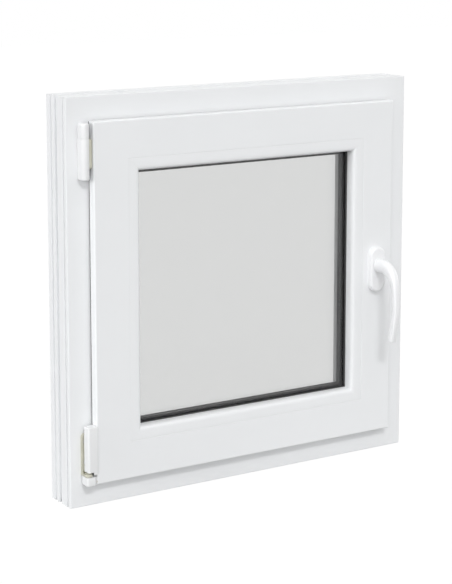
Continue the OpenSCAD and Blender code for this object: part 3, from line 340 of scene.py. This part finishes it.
def mitredTree():
    # a section becomes a member with mitred ends, then turns to its side of the window
    numbers = ("Length", "Joint Gap", "Edge Distance", "Turn", "Middle")
    floats = [(label, "Float") for label in numbers]
    tree, given = newTree("mitred member", [("Section", "Geometry"), *floats, ("Material", "Material")])

    def maths(kind, first, second):
        return addNode(tree, "ShaderNodeMath", {0: first, 1: second}, operation=kind).outputs[0]

    def movedTo(geometry, x, selection=None):
        where = addNode(tree, "GeometryNodeInputPosition").outputs[0]
        parts = addNode(tree, "ShaderNodeSeparateXYZ", {0: where}).outputs
        here = addNode(tree, "ShaderNodeCombineXYZ", {"X": x(parts["Z"]), "Y": parts["Y"], "Z": parts["Z"]})
        links = {"Geometry": geometry, "Position": here.outputs[0]}
        if selection is not None:
            links["Selection"] = selection
        return addNode(tree, "GeometryNodeSetPosition", links).outputs[0]

    half = maths("SUBTRACT", maths("MULTIPLY", given["Length"], 0.5), given["Joint Gap"])
    near = movedTo(given["Section"], lambda u: maths("SUBTRACT", u, half))
    along = addNode(tree, "ShaderNodeCombineXYZ", {"X": 1})
    grown = addNode(tree, "GeometryNodeExtrudeMesh",
                    {"Mesh": near, "Offset": along.outputs[0], "Individual": False})
    far = movedTo(grown.outputs["Mesh"], lambda u: maths("SUBTRACT", half, u), grown.outputs["Top"])
    cap = addNode(tree, "GeometryNodeFlipFaces", {"Mesh": near}).outputs[0]
    whole = addNode(tree, "GeometryNodeJoinGeometry")
    tree.links.new(cap, whole.inputs[0])
    tree.links.new(far, whole.inputs[0])
    closed = addNode(tree, "GeometryNodeMergeByDistance", {"Geometry": whole.outputs[0], "Distance": weld})
    down = addNode(tree, "ShaderNodeCombineXYZ", {"Z": maths("MULTIPLY", given["Edge Distance"], -1)})
    turn = addNode(tree, "ShaderNodeCombineXYZ", {"Y": given["Turn"]})
    up = addNode(tree, "ShaderNodeCombineXYZ", {"Z": given["Middle"]})
    low = addNode(tree, "GeometryNodeTransform",
                  {"Geometry": closed.outputs[0], "Translation": down.outputs[0]})
    placed = addNode(tree, "GeometryNodeTransform", {
        "Geometry": low.outputs[0], "Rotation": turn.outputs[0], "Translation": up.outputs[0]})
    return endTree(tree, placed.outputs[0], given["Material"])


memberTree = mitredTree()
sideTurn = {"sill": 0, "hinge": 90, "head": 180, "lock": -90}  # degrees


def cutAway(mesh, cutters):
    # takes closed cutter meshes out of a closed mesh
    holder = newObject("holder", mesh)
    tools = [newObject("cutter", cutter) for cutter in cutters]
    for tool in tools:
        modifier = holder.modifiers.new("cut", "BOOLEAN")
        modifier.operation = "DIFFERENCE"
        modifier.solver = "EXACT"
        modifier.object = tool
    result = evaluatedMesh(holder)
    for used in [holder, *tools]:
        bpy.data.objects.remove(used)
    return result


def member(name, side, outline, body, jointGap=0.0, cutters=()):
    upright = side in ("hinge", "lock")
    length = window["height"] if upright else window["width"]
    across = window["width"] if upright else window["height"]
    material = "upvcUp" if upright else "upvcAcross"
    mesh = evaluated(sectionMesh(name, outline), memberTree, {
        "Length": length * mm, "Joint Gap": jointGap * mm, "Edge Distance": across / 2 * mm,
        "Turn": math.radians(sideTurn[side]), "Middle": window["height"] / 2 * mm,
        "Material": look[material]})
    mesh.name = name
    if cutters:
        mesh = cutAway(mesh, cutters)
    finishMesh(mesh)
    addPiece(name + "_profile", mesh, material, body, [name])


brokenEdge = {"segments": 2, "profile": 0.6, "affect": "EDGES"}


def boxMesh(lo, hi, arris=0.0):
    (x0, y0, z0), (x1, y1, z1) = lo, hi
    shape = bmesh.new()
    bmesh.ops.create_cube(shape, size=1)
    for v in shape.verts:
        v.co = at(x1 if v.co.x > 0 else x0, y1 if v.co.y > 0 else y0, z1 if v.co.z > 0 else z0)
    if arris:
        bmesh.ops.bevel(shape, geom=shape.edges[:], offset=arris * mm, **brokenEdge)
    bmesh.ops.recalc_face_normals(shape, faces=shape.faces)
    return meshOf("block", shape)


def rodMesh(start, end, diameter, sides=40):
    start, end = at(*start), at(*end)
    shape = bmesh.new()
    radius = diameter / 2 * mm
    bmesh.ops.create_cone(shape, cap_ends=True, segments=sides, radius1=radius, radius2=radius,
                          depth=(end - start).length)
    turn = (end - start).to_track_quat("Z", "Y").to_matrix().to_4x4()
    bmesh.ops.transform(shape, matrix=Matrix.Translation((start + end) / 2) @ turn, verts=shape.verts)
    return meshOf("rod", shape)


def ringPiece(name, outline, material, body, nodes=(), cutters=()):
    # a section that runs round all four sides of the window without an end
    outline = counterclockwise(outline)
    count = len(outline)
    points, faces = [], []
    for sideX, sideZ in ((-1, -1), (1, -1), (1, 1), (-1, 1)):
        for p in outline:
            z = p.y if sideZ < 0 else headZ(p.y)
            points.append(at(sideX * lockX(p.y), p.x, z))
    for corner in range(4):
        ahead = (corner + 1) % 4
        for k in range(count):
            m = (k + 1) % count
            faces.append([corner * count + k, ahead * count + k, ahead * count + m, corner * count + m])
    mesh = meshFrom(name, points, faces)
    if cutters:
        mesh = cutAway(mesh, cutters)
        finishMesh(mesh)
    addPiece(name, mesh, material, body, nodes)


def loftMesh(name, rings, angle):
    # skins a row of rings of equally many points, each end closed with a fan round its middle
    count = len(rings[0])
    points = [p for ring in rings for p in ring]
    faces = []
    for i in range(len(rings) - 1):
        for k in range(count):
            m = (k + 1) % count
            faces.append([i * count + k, (i + 1) * count + k, (i + 1) * count + m, i * count + m])
    for i in (0, len(rings) - 1):
        points.append(sum(rings[i], Vector()) / count)
        faces += [[i * count + k, i * count + (k + 1) % count, len(points) - 1] for k in range(count)]
    return meshFrom(name, points, faces, angle)


def leftOf(v):
    return Vector((-v.y, v.x)).normalized()


def inset(outline, distance):
    # moves a closed outline inwards along its normals
    outline = counterclockwise(outline)
    result = []
    for i, p in enumerate(outline):
        before, after = p - outline[i - 1], outline[(i + 1) % len(outline)] - p
        result.append(p + (leftOf(before) + leftOf(after)).normalized() * distance)
    return result


def softBar(name, outline, z0, z1, lowEdge, highEdge, highInset=None, steps=5):
    # an upright bar on an outline, with rounded edges at both ends
    def ring(z, rise, reach, k):
        turn = math.pi / 2 * k / steps
        return [at(p.x, p.y, z + rise * (1 - math.sin(turn)))
                for p in inset(outline, reach * (1 - math.cos(turn)))]

    rings = [ring(z0, lowEdge, lowEdge, k) for k in range(steps, -1, -1)]
    rings += [ring(z1, -highEdge, highInset or highEdge, k) for k in range(steps + 1)]
    return loftMesh(name, rings, 35)


def joined(name, meshes):
    # several closed shells as one mesh
    shape = bmesh.new()
    for mesh in meshes:
        shape.from_mesh(mesh)
    return meshOf(name, shape)


soften = {"merge": 2e-6, "flat": 0.5, "sharp": 35}  # metres, degrees, degrees


def softenedMesh(node, edge):
    # a merged copy of a CAD node with its sharp edges broken
    shape = bmesh.new()
    shape.from_mesh(frame["nodes"][node].data)
    bmesh.ops.remove_doubles(shape, verts=shape.verts, dist=soften["merge"])
    bmesh.ops.dissolve_limit(shape, angle_limit=math.radians(soften["flat"]), verts=shape.verts,
                             edges=shape.edges)
    limit = math.radians(soften["sharp"])
    sharp = [e for e in shape.edges if len(e.link_faces) == 2 and e.calc_face_angle(0) > limit]
    bmesh.ops.bevel(shape, geom=sharp, offset=edge * mm, clamp_overlap=True, **brokenEdge)
    mesh = meshOf(node, shape)
    finishMesh(mesh)
    return mesh


# ---------- outer frame ----------

frameSize = {
    "face": 43, "depth": 60, "stopU": 63, "stopY": 47.5,
    "frontEdge": 1.0, "rebateEdge": 1.8, "outerEdge": 1, "stopEdge": 1.8, "grooveEdge": 0.35,
    "grooves": [(7, 11, 2.6), (28, 36, 4.6), (44, 49, 2.6)],  # from, to, how deep
    "sealFrom": 57.8, "sealTo": 60.2, "sealFloor": 49.9,
    "fixingHole": 8, "fixingInset": 100, "fixingY": 19.5}


def frameOutline():
    s = frameSize
    e = s["grooveEdge"]
    side = []
    for near, far, deep in s["grooves"]:
        side += [(near, 0, e), (near, deep, 0), (far, deep, 0), (far, 0, e)]
    return rounded([
        (0, 0, s["frontEdge"]), *side, (s["depth"], 0, s["outerEdge"]),
        (s["depth"], s["stopU"], s["stopEdge"]), (s["stopY"], s["stopU"], s["stopEdge"]),
        (s["stopY"], s["sealTo"], 0), (s["sealFloor"], s["sealTo"], 0), (s["sealFloor"], s["sealFrom"], 0),
        (s["stopY"], s["sealFrom"], 0), (s["stopY"], s["face"], 0), (0, s["face"], s["rebateEdge"])])


def fixingCutters(side):
    s = frameSize
    reach = (window["height"] if side == "lock" else window["width"]) / 2 - s["fixingInset"]
    cutters = []
    for end in (-1, 1):
        ends = []
        for depth in (-1, s["face"] + 1):  # a little past both faces
            if side == "head":
                ends.append((end * reach, s["fixingY"], headZ(depth)))
            else:
                ends.append((lockX(depth), s["fixingY"], window["height"] / 2 + end * reach))
        cutters.append(rodMesh(*ends, s["fixingHole"]))
    return cutters


# Each drain has a slot in the outdoor wall and one in the floor of the rebate
drain = {"x": (-150, 150), "width": 26, "height": 5, "z": 14, "innerY": 42,
         "outdoor": (54, 61), "floor": (37, 44)}
drainCutters = []
for x in drain["x"]:
    left, right = x - drain["width"] / 2, x + drain["width"] / 2
    (y0, y1), z = drain["outdoor"], drain["z"]
    drainCutters.append(boxMesh((left, y0, z), (right, y1, z + drain["height"])))
    y, (z0, z1) = drain["innerY"], drain["floor"]
    drainCutters.append(boxMesh((left, y, z0), (right, y + drain["height"], z1)))

outline = frameOutline()
member("frame_head", "head", outline, "frame", cutters=fixingCutters("head"))
member("frame_sill", "sill", outline, "frame", cutters=drainCutters)
member("frame_hinge_jamb", "hinge", outline, "frame")
member("frame_lock_jamb", "lock", outline, "frame", cutters=fixingCutters("lock"))

stopSeal = rounded([
    (49.8, 57.95, 0.3), (47.5, 57.95, 0), (46.9, 57.5, 0.3), (43.3, 57.6, 1.3),
    (43.3, 60.5, 1.3), (46.9, 60.6, 0.3), (47.5, 60.05, 0), (49.8, 60.05, 0.3)], 4, 0.05)
ringPiece("stop_seal", stopSeal, "rubber", "frame", ["frame_stop_gasket"])
print("outer frame made")


# ---------- sash ----------

sashSize = {
    "front": -17, "back": 43, "leafU": 35, "jointU": 91, "rebateU": 55, "lipY": 26, "lipU": 111.5,
    "slopeY": 34, "slopeU": 101, "leafBack": -3.5, "leafEdge": 2.2, "backEdge": 0.8, "jointEdge": 0.45,
    "beadFrom": -13.3, "beadTo": -9.7, "beadFloor": 88.4,
    "channelLips": (1.4, 17.6), "channelWalls": (3.5, 15.5), "channelNeck": 58, "channelFloor": 66,
    "sealFrom": 38.4, "sealTo": 41, "sealFloor": -6}
gearPocket = {"x": 233, "z": 300, "left": 10.4, "openU": 57.9, "front": 3.5, "back": 15.5, "reach": 38.2,
              "holesFrom": -18, "holesTo": 9, "spindleHole": 14, "screwHole": 5.6, "screwReach": 21.5}


def sashOutline():
    s = sashSize
    (lip0, lip1), (wall0, wall1) = s["channelLips"], s["channelWalls"]
    neck, floor = s["channelNeck"], s["channelFloor"]
    return rounded([
        (s["front"], s["leafU"], s["leafEdge"]), (s["front"], s["jointU"], s["jointEdge"]),
        (s["beadFrom"], s["jointU"], 0), (s["beadFrom"], s["beadFloor"], 0),
        (s["beadTo"], s["beadFloor"], 0), (s["beadTo"], s["jointU"], 0), (s["lipY"], s["jointU"], 0),
        (s["lipY"], s["lipU"], 0.5), (s["slopeY"], s["lipU"], 0.8), (s["back"], s["slopeU"], 1),
        (s["back"], s["rebateU"], 1.6), (lip1, s["rebateU"], 0), (lip1, neck, 0), (wall1, neck, 0),
        (wall1, floor, 0), (wall0, floor, 0), (wall0, neck, 0), (lip0, neck, 0), (lip0, s["rebateU"], 0),
        (s["leafBack"], s["rebateU"], 0), (s["leafBack"], s["sealTo"], 0), (s["sealFloor"], s["sealTo"], 0),
        (s["sealFloor"], s["sealFrom"], 0), (s["leafBack"], s["sealFrom"], 0),
        (s["leafBack"], s["leafU"], s["backEdge"])])


def lockStileCutters():
    # the gear pocket and the holes behind the handle
    g = gearPocket
    x, z = g["x"], g["z"]
    holes = [(0, g["spindleHole"]), (-g["screwReach"], g["screwHole"]), (g["screwReach"], g["screwHole"])]
    pocket = boxMesh((x - g["left"], g["front"], z - g["reach"]),
                     (lockX(g["openU"]), g["back"], z + g["reach"]))
    return [pocket] + [rodMesh((x, g["holesFrom"], z + rise), (x, g["holesTo"], z + rise), size)
                       for rise, size in holes]


outline = sashOutline()
member("sash_top_rail", "head", outline, "sash")
member("sash_bottom_rail", "sill", outline, "sash")
member("sash_hinge_stile", "hinge", outline, "sash")
member("sash_lock_stile", "lock", outline, "sash", cutters=lockStileCutters())

# The plate of the stay arm passes through a notch in this seal
notch = boxMesh((-266, -6.5, 548.4), (-245, 0, 559))
overlapSeal = rounded([
    (-5.9, 38.55, 0.3), (-3.55, 38.55, 0), (-3.4, 35.9, 0.3), (-0.7, 35.9, 0.4), (-0.3, 37.9, 0.5),
    (-0.3, 40.9, 0.9), (-3.3, 40.95, 0.2), (-3.6, 40.85, 0), (-5.9, 40.85, 0.3)], 4, 0.05)
ringPiece("overlap_seal", overlapSeal, "rubber", "sash", ["overlap_gasket"], [notch])
print("sash made")


# ---------- glazing ----------

glazing = {"innerY": 3, "outerY": 19, "pane": 4, "edgeU": 96, "arris": 0.5, "faceAngle": 5}
# The crown stays nearly flat for most of its width, then rolls down to the glass
bead = {"u": 91.3, "innerU": 110.8, "low": -2, "top": -16.6, "steps": 26, "crowding": 1.9,
        "flatness": 8, "roll": 0.3, "jointGap": 0.06,
        "back": [(0, 91.02), (-9.8, 91.02), (-9.8, 88.6), (-13.2, 88.6), (-13.2, 91.02), (-16.3, 91.02),
                 (-16.5, 91.1)],
        "foot": [(-0.6, 110.7), (0, 110.2)]}


def beadOutline():
    g = bead
    crown = []
    for k in range(g["steps"] + 1):
        t = 1 - (1 - k / g["steps"]) ** g["crowding"]
        rise = (1 - t ** g["flatness"]) ** g["roll"]
        crown.append((g["low"] - (g["low"] - g["top"]) * rise, g["u"] + t * (g["innerU"] - g["u"])))
    return [Vector(p) for p in g["back"] + crown + g["foot"]]


outline = beadOutline()
for name, side in (("top", "head"), ("bottom", "sill"), ("hinge", "hinge"), ("lock", "lock")):
    member("glazing_bead_" + name, side, outline, "sash", jointGap=bead["jointGap"])

for name, y in (("inner_pane", glazing["innerY"]), ("outer_pane", glazing["outerY"])):
    e = glazing["edgeU"]
    mesh = boxMesh((-lockX(e), y, e), (lockX(e), y + glazing["pane"], headZ(e)), glazing["arris"])
    finishMesh(mesh, glazing["faceAngle"])
    addPiece(name + "_glass", mesh, "glass", "sash", [name])

# The spacer has a shallow channel along the middle of its sight face
spacer = rounded([
    (7, 106.2, 0.3), (19, 106.2, 0.3), (19, 114.0, 0.2), (17.4, 116.2, 0.3), (15.2, 116.2, 0.2),
    (15.0, 115.7, 0), (11.0, 115.7, 0), (10.8, 116.2, 0.2), (8.8, 116.2, 0.3), (7, 113.6, 0.2)], 4, 0.05)
sealant = rounded([(7.03, 112.9, 0), (8.1, 114.7, 0), (8.3, 116.25, 0.1), (7.03, 116.25, 0.1)], 3, 0.05)
beadSeal = rounded([(0, 104.5, 0.3), (3, 104.5, 0.3), (3, 112, 0.4), (0, 111.4, 0.8)], 4, 0.05)
outerSeal = rounded([(23, 103.5, 0.3), (26, 103.5, 0.3), (26, 110.5, 0.8), (23, 110.5, 0.5)], 4, 0.05)
ringPiece("spacer_profile", spacer, "spacer", "sash", ["spacer_bar"])
ringPiece("pane_sealant", sealant, "seal", "sash")
ringPiece("bead_seal", beadSeal, "rubber", "sash", ["bead_gasket"])
ringPiece("outer_glazing_seal", outerSeal, "rubber", "sash", ["outer_glazing_gasket"])
print("glazing made")


# ---------- hinges ----------

# Outlines are about the hinge axis, which stands at this x and y
hinge = {"axisX": -276.5, "axisY": -12.3}
# Edges are how far the rounding reaches along the bar, topInset is how far it draws in
upper = {"low": 482.3, "seam": 541.3, "high": 563.6, "seamGap": 0.12, "width": 13,
         "outerEdge": 1.6, "seamEdge": 0.06, "topEdge": 3.9, "topInset": 2.5,
         "bearingRear": (12.25, 3), "knuckleRear": (10.8, 2.6)}  # how far back, corner radius
lower = {"capLow": 35.4, "capHigh": 48.2, "capEdges": (1.6, 1.0),
         "coverLow": 56.2, "coverHigh": 123.2, "coverEdges": (0.5, 1.3),
         "skirtLow": 52.2, "skirtOverlap": 3, "skirtEdges": (0.2, 0.05)}


def aboutAxis(outline):
    return [Vector((p.x + hinge["axisX"], p.y + hinge["axisY"])) for p in outline]


def barOutline(width, rear, rearRadius, sides=18):
    # round in front of the axis, straight behind it
    r = width / 2
    angles = [math.pi * k / sides for k in range(sides + 1)]
    back = rounded([(r, -1, 0), (r, rear, rearRadius), (-r, rear, rearRadius), (-r, -1, 0)], 6, 0)
    return [Vector((-r * math.cos(a), -r * math.sin(a))) for a in angles] + back[1:-1]


bearing = softBar("stay_bearing_cover", aboutAxis(barOutline(upper["width"], *upper["bearingRear"])),
                  upper["low"], upper["seam"] - upper["seamGap"], upper["outerEdge"], upper["seamEdge"])
addPiece("upper_hinge_cover", bearing, "cap", "frame", ["stay_bearing_cover"])
knuckle = softBar("stay_knuckle_cover", aboutAxis(barOutline(upper["width"], *upper["knuckleRear"])),
                  upper["seam"], upper["high"], upper["seamEdge"], upper["topEdge"], upper["topInset"])
addPiece("upper_knuckle_cover", knuckle, "cap", "stay", ["stay_knuckle_cover"])

band = rounded([(-5, -9.8, 3.2), (11.4, -9.8, 1.7), (11.4, 6.4, 1.5), (-1.5, 6.4, 2.5), (-5, 3.2, 1.8)],
               6, 0.1)
# Only the right front corner reaches down beside the eye, as a thin skirt
skirt = rounded([(4.6, -9.77, 0.3), (11.37, -9.77, 1.7), (11.37, 1, 0.5), (9.2, 1, 0.3), (9.2, -8.0, 0.3),
                 (4.6, -8.0, 0.3)], 5, 0.05)
bandMesh = joined("hinge_band_cover", [
    softBar("cover", aboutAxis(band), lower["coverLow"], lower["coverHigh"], *lower["coverEdges"]),
    softBar("skirt", aboutAxis(skirt), lower["skirtLow"], lower["coverLow"] + lower["skirtOverlap"],
            *lower["skirtEdges"])])
finishMesh(bandMesh, 35)
addPiece("lower_band_cover", bandMesh, "cap", "sash", ["hinge_band_cover"])

cap = rounded([(-6.2, -8.8, 3.0), (6.4, -8.8, 2.0), (11.1, -4.2, 2.0), (11.1, 5.0, 1.2),
               (6, 10.2, 1.2), (-4, 10.6, 1.2), (-6.2, 8, 1.2)], 5, 0.1)
capMesh = softBar("pivot_cap", aboutAxis(cap), lower["capLow"], lower["capHigh"], *lower["capEdges"])
addPiece("lower_cap", capMesh, "cap", "turn_pivot", ["pivot_cap"])
print("hinge covers made")


# ---------- handle ----------

lever = {
    "x": gearPocket["x"], "z": gearPocket["z"], "sashFace": sashSize["front"],
    # stations: out from the sash, below the axis, half width, half thickness, roundness of the section
    "stations": [[10.3, -6.4, 9.6, 10.6, 1], [19, -7.2, 8.8, 11.2, 0.98], [28.6, -6.4, 8, 10.9, 0.92],
                 [37.6, -2.7, 7.4, 10, 0.84], [45.6, 4.5, 6.7, 8.2, 0.76], [50.4, 12.5, 6.2, 6.7, 0.7],
                 [53.4, 23.5, 5.9, 5.7, 0.66], [54.8, 36, 5.7, 5.3, 0.64], [55.4, 49, 5.7, 5.3, 0.62],
                 [55, 62, 5.7, 5.3, 0.62], [53.5, 75.5, 5.7, 5.4, 0.62], [50.1, 91.5, 5.7, 5.7, 0.62],
                 [47.4, 102.5, 5.6, 5.7, 0.62], [46.4, 106.5, 5.5, 5.6, 0.62]],
    "ringPoints": 48, "between": 6, "endSteps": 8, "endLength": 1.6, "endRound": 1.6}
rosette = {"width": 28, "height": 71, "out": 10, "edge": 3.2, "steps": 8, "rim": 0.2}


def curvePoint(values, position):
    # a Catmull-Rom curve through the stations
    i = min(int(position), len(values) - 2)
    t = position - i
    a, b, c, d = (values[min(max(k, 0), len(values) - 1)] for k in range(i - 1, i + 3))
    square, cube = (2 * a - 5 * b + 4 * c - d) * t * t, (3 * b - a - 3 * c + d) * t * t * t
    return 0.5 * (2 * b + (c - a) * t + square + cube)


def leverMesh():
    v = lever
    stations = [Vector(s) for s in v["stations"]]
    count = (len(stations) - 1) * v["between"]
    path = [curvePoint(stations, k / v["between"]) for k in range(count + 1)]
    rings = []

    def ring(place, heading, width, thick, power):
        points = []
        for k in range(v["ringPoints"]):
            a = 2 * math.pi * (k + 0.5) / v["ringPoints"]
            c, s = math.cos(a), math.sin(a)
            c, s = math.copysign(abs(c) ** power, c), math.copysign(abs(s) ** power, s)
            points.append(at(v["x"] + width * c, v["sashFace"] - place[0] - thick * s * math.sin(heading),
                             v["z"] - place[1] + thick * s * math.cos(heading)))
        return points

    for i, p in enumerate(path):
        before, after = path[max(i - 1, 0)], path[min(i + 1, count)]
        heading = 0 if i == 0 else math.atan2(after[1] - before[1], after[0] - before[0])
        rings.append(ring(p, heading, p[2], p[3], p[4]))
    end = path[-1]
    for k in range(1, v["endSteps"] + 1):
        turn = math.pi / 2 * k / v["endSteps"]
        step, less = v["endLength"] * math.sin(turn), v["endRound"] * (1 - math.cos(turn))
        place = (end[0] + math.cos(heading) * step, end[1] + math.sin(heading) * step)
        rings.append(ring(place, heading, end[2] - less, end[3] - less, end[4]))
    return loftMesh("handle_lever", rings, 50)


def stadiumOutline(width, height, sides=20):
    r, lift = width / 2, (height - width) / 2
    top = [Vector((r * math.cos(math.pi * k / sides), lift + r * math.sin(math.pi * k / sides)))
           for k in range(sides + 1)]
    return top + [-p for p in top]


def rosetteMesh():
    r = rosette
    outline = stadiumOutline(r["width"], r["height"])

    def ring(points, out):
        return [at(lever["x"] + p.x, lever["sashFace"] - out, lever["z"] + p.y) for p in points]

    rings = [ring(outline, 0.0)]
    for k in range(r["steps"] + 1):
        turn = math.pi / 2 * k / r["steps"]
        rings.append(ring(inset(outline, r["edge"] * (1 - math.cos(turn))),
                          r["out"] - r["edge"] * (1 - math.sin(turn))))
    rings.append(ring(inset(outline, r["edge"] + r["rim"]), r["out"]))
    return loftMesh("rosette_cover", rings, 35)


addPiece("lever_grip", leverMesh(), "handle", "handle", ["handle_lever"])
addPiece("rosette_shell", rosetteMesh(), "handle", "sash", ["rosette_cover"])
print("handle made")


# ---------- metal fittings ----------

fittings = {
    # node: (material, slot, width of its broken edges)
    "striker_plates": ("zinc", "zinc_hardware", 0.25),
    "tilt_keep": ("zinc", "zinc_hardware", 0.25),
    "corner_bearing": ("zinc", "zinc_hardware", 0.4),
    "stay_bearing": ("zinc", "zinc_hardware", 0.3),
    "pivot_yoke": ("zinc", "zinc_hardware", 0.3),
    "hinge_band": ("zinc", "zinc_hardware", 0.3),
    "tilt_bush": ("zinc", "zinc_hardware", 0.1),
    "handle_base": ("zinc", "zinc_hardware", 0.3),
    "stay_pin": ("steel", "galvanised_steel", 0.4),
    "stay_arm": ("steel", "galvanised_steel", 0.3),
    "stay_stud": ("steel", "galvanised_steel", 0.3),
    "stay_guide": ("steel", "galvanised_steel", 0.25),
    "faceplate_lock": ("steel", "galvanised_steel", 0.25),
    "faceplate_top": ("steel", "galvanised_steel", 0.25),
    "faceplate_bottom": ("steel", "galvanised_steel", 0.25),
    "corner_drives": ("steel", "galvanised_steel", 0.25),
    "gearbox_case": ("steel", "galvanised_steel", 0.25),
    "spindle": ("steel", "galvanised_steel", 0.3),
    "lock_rod": ("steel", "galvanised_steel", 0.1),
    "lock_cams": ("steel", "galvanised_steel", 0.3),
    "top_rod": ("steel", "galvanised_steel", 0.2),
    "bottom_rod": ("steel", "galvanised_steel", 0.2),
    "pinion": ("steel", "galvanised_steel", 0.08),
    "drain_caps": ("cap", "cap_white", 0.6),
    "keep_screws": ("steel", "galvanised_steel", 0.1),
    "corner_bearing_screws": ("steel", "galvanised_steel", 0.1),
    "stay_bearing_screws": ("steel", "galvanised_steel", 0.1),
    "hinge_band_screws": ("steel", "galvanised_steel", 0.1),
    "faceplate_screws": ("steel", "galvanised_steel", 0.1),
    "handle_screws": ("steel", "galvanised_steel", 0.1),
}
# The bearing's flange stands beside its cover, with a rounded front
flange = {"left": -269.95, "right": -265.45, "front": -13.6, "back": -0.05, "low": 497, "high": 540.6,
          "frontRadius": 4, "backRadius": 0.8, "leftEdge": 0.2, "rightEdge": 0.7}


def flangeMesh():
    g = flange
    near, far = g["leftEdge"], g["rightEdge"]
    outline = rounded([
        (g["front"], g["low"], g["frontRadius"]), (g["front"], g["high"], g["frontRadius"]),
        (g["back"], g["high"], g["backRadius"]), (g["back"], g["low"], g["backRadius"])], 8, 0.1)
    stations = [(g["left"], near), (g["left"] + near, 0), (g["right"] - far, 0), (g["right"] - near, near),
                (g["right"], far)]
    rings = [[at(x, p.x, p.y) for p in inset(outline, edge)] for x, edge in stations]
    return loftMesh("flange", rings, 35)


bodies = frame["record"]["behaviour"]["bodies"]
bodyOf = {node: body for body, nodes in bodies.items() for node in nodes}
for node, (material, slot, edge) in fittings.items():
    mesh = softenedMesh(node, edge)
    if node == "stay_bearing":
        mesh = joined(node, [mesh, flangeMesh()])
        finishMesh(mesh)
    piece = addPiece(node + "_detail", mesh, material, bodyOf[node], [node])
    # broad faces stay flat beside their broken edges
    piece.modifiers.new("even shading", "WEIGHTED_NORMAL").keep_sharp = True

# These keep the solid's own mesh, since other pieces hide them
hidden = {"frame_steel_bars": "galvanised", "sash_steel_bars": "galvanised", "edge_seal": "seal",
          "setting_blocks": "block"}
for node, material in hidden.items():
    mesh = frame["nodes"][node].data
    mesh.materials.clear()
    mesh.materials.append(look[material])
print("fittings made")


# ---------- floor, light and backdrop ----------

studio = {
    "lamps": {
        # name: (strength, angle in degrees, direction that the light comes from)
        "key left": (0.295, 6.5, (-0.44, -1.0, 0.9)),
        "key middle": (0.295, 6.5, (-0.33, -1.0, 0.9)),
        "key right": (0.295, 6.5, (-0.22, -1.0, 0.9)),
        "side fill": (1.1, 16, (-1.0, -0.04, 0.2)),
        "corner fill": (0.3, 16, (-1.0, -1.1, 0.35)),
        "far side fill": (0.7, 20, (1.0, 0.1, 0.15)),
        "rear fill": (0.7, 20, (0.1, 1.0, 0.15)),
    },
    "lampColour": (0.985, 0.99, 1),
    "dome": 0.37, "domeTilt": 0.68, "domeFrom": (-0.14, -0.78, 0.56), "domeFocus": 2,
    "domeColour": (1, 1, 0.995),
    "floorGrey": 0.5, "floorGlow": 0.9, "glowLevel": 1.08, "floorReach": 8}


def seenDirectly(tree):
    # 1 for rays from the camera, in gloss and through glass, otherwise 0
    path = tree.nodes.new("ShaderNodeLightPath")
    seen = path.outputs["Is Camera Ray"]
    for kind in ("Is Glossy Ray", "Is Transmission Ray"):
        either = addNode(tree, "ShaderNodeMath", {0: seen, 1: path.outputs[kind]}, operation="MAXIMUM")
        seen = either.outputs[0]
    return seen


def lightScene():
    s = studio
    for name, (strength, angle, direction) in s["lamps"].items():
        sun = bpy.data.lights.new(name, "SUN")
        sun.energy = strength
        sun.angle = math.radians(angle)
        sun.color = s["lampColour"]
        lamp = newObject(name, sun)
        lamp.rotation_euler = Vector(direction).to_track_quat("Z", "Y").to_euler()

    # a soft dome with a broad brighter patch
    world = bpy.data.worlds.new("studio")
    world.use_nodes = True
    bpy.context.scene.world = world
    tree = world.node_tree
    tree.nodes.clear()
    towards = addNode(tree, "ShaderNodeTexCoord").outputs["Generated"]
    lean = addNode(tree, "ShaderNodeVectorMath", {0: towards, 1: Vector(s["domeFrom"]).normalized()},
                   operation="DOT_PRODUCT").outputs["Value"]
    facing = addNode(tree, "ShaderNodeMath", {0: lean, 1: 0}, operation="MAXIMUM").outputs[0]
    patch = addNode(tree, "ShaderNodeMath", {0: facing, 1: s["domeFocus"]}, operation="POWER").outputs[0]
    level = addNode(tree, "ShaderNodeMath", {0: patch, 1: s["domeTilt"], 2: s["dome"]},
                    operation="MULTIPLY_ADD").outputs[0]
    dome = addNode(tree, "ShaderNodeBackground", {"Color": (*s["domeColour"], 1), "Strength": level})
    backdrop = addNode(tree, "ShaderNodeBackground", {"Color": (1, 1, 1, 1), "Strength": 1})
    both = addNode(tree, "ShaderNodeMixShader",
                   {0: seenDirectly(tree), 1: dome.outputs[0], 2: backdrop.outputs[0]})
    out = tree.nodes.new("ShaderNodeOutputWorld")
    tree.links.new(both.outputs[0], out.inputs["Surface"])


def makeFloor():
    material = bpy.data.materials.new("floor")
    material.use_nodes = True
    tree = material.node_tree
    tree.nodes.clear()
    share = addNode(tree, "ShaderNodeMath", {0: seenDirectly(tree), 1: studio["floorGlow"]},
                    operation="MULTIPLY").outputs[0]
    grey = studio["floorGrey"]
    matt = addNode(tree, "ShaderNodeBsdfDiffuse", {"Color": (grey, grey, grey, 1)})
    glow = addNode(tree, "ShaderNodeEmission", {"Color": (1, 1, 1, 1), "Strength": studio["glowLevel"]})
    both = addNode(tree, "ShaderNodeMixShader", {0: share, 1: matt.outputs[0], 2: glow.outputs[0]})
    out = tree.nodes.new("ShaderNodeOutputMaterial")
    tree.links.new(both.outputs[0], out.inputs["Surface"])
    r = studio["floorReach"]  # metres
    mesh = bpy.data.meshes.new("floor")
    mesh.from_pydata([(-r, -r, 0), (r, -r, 0), (r, r, 0), (-r, r, 0)], [], [(0, 1, 2, 3)])
    mesh.materials.append(material)
    floor = newObject("floor", mesh)


lightScene()
makeFloor()
bpy.context.scene.view_settings.view_transform = "Standard"
bpy.context.view_layer.update()
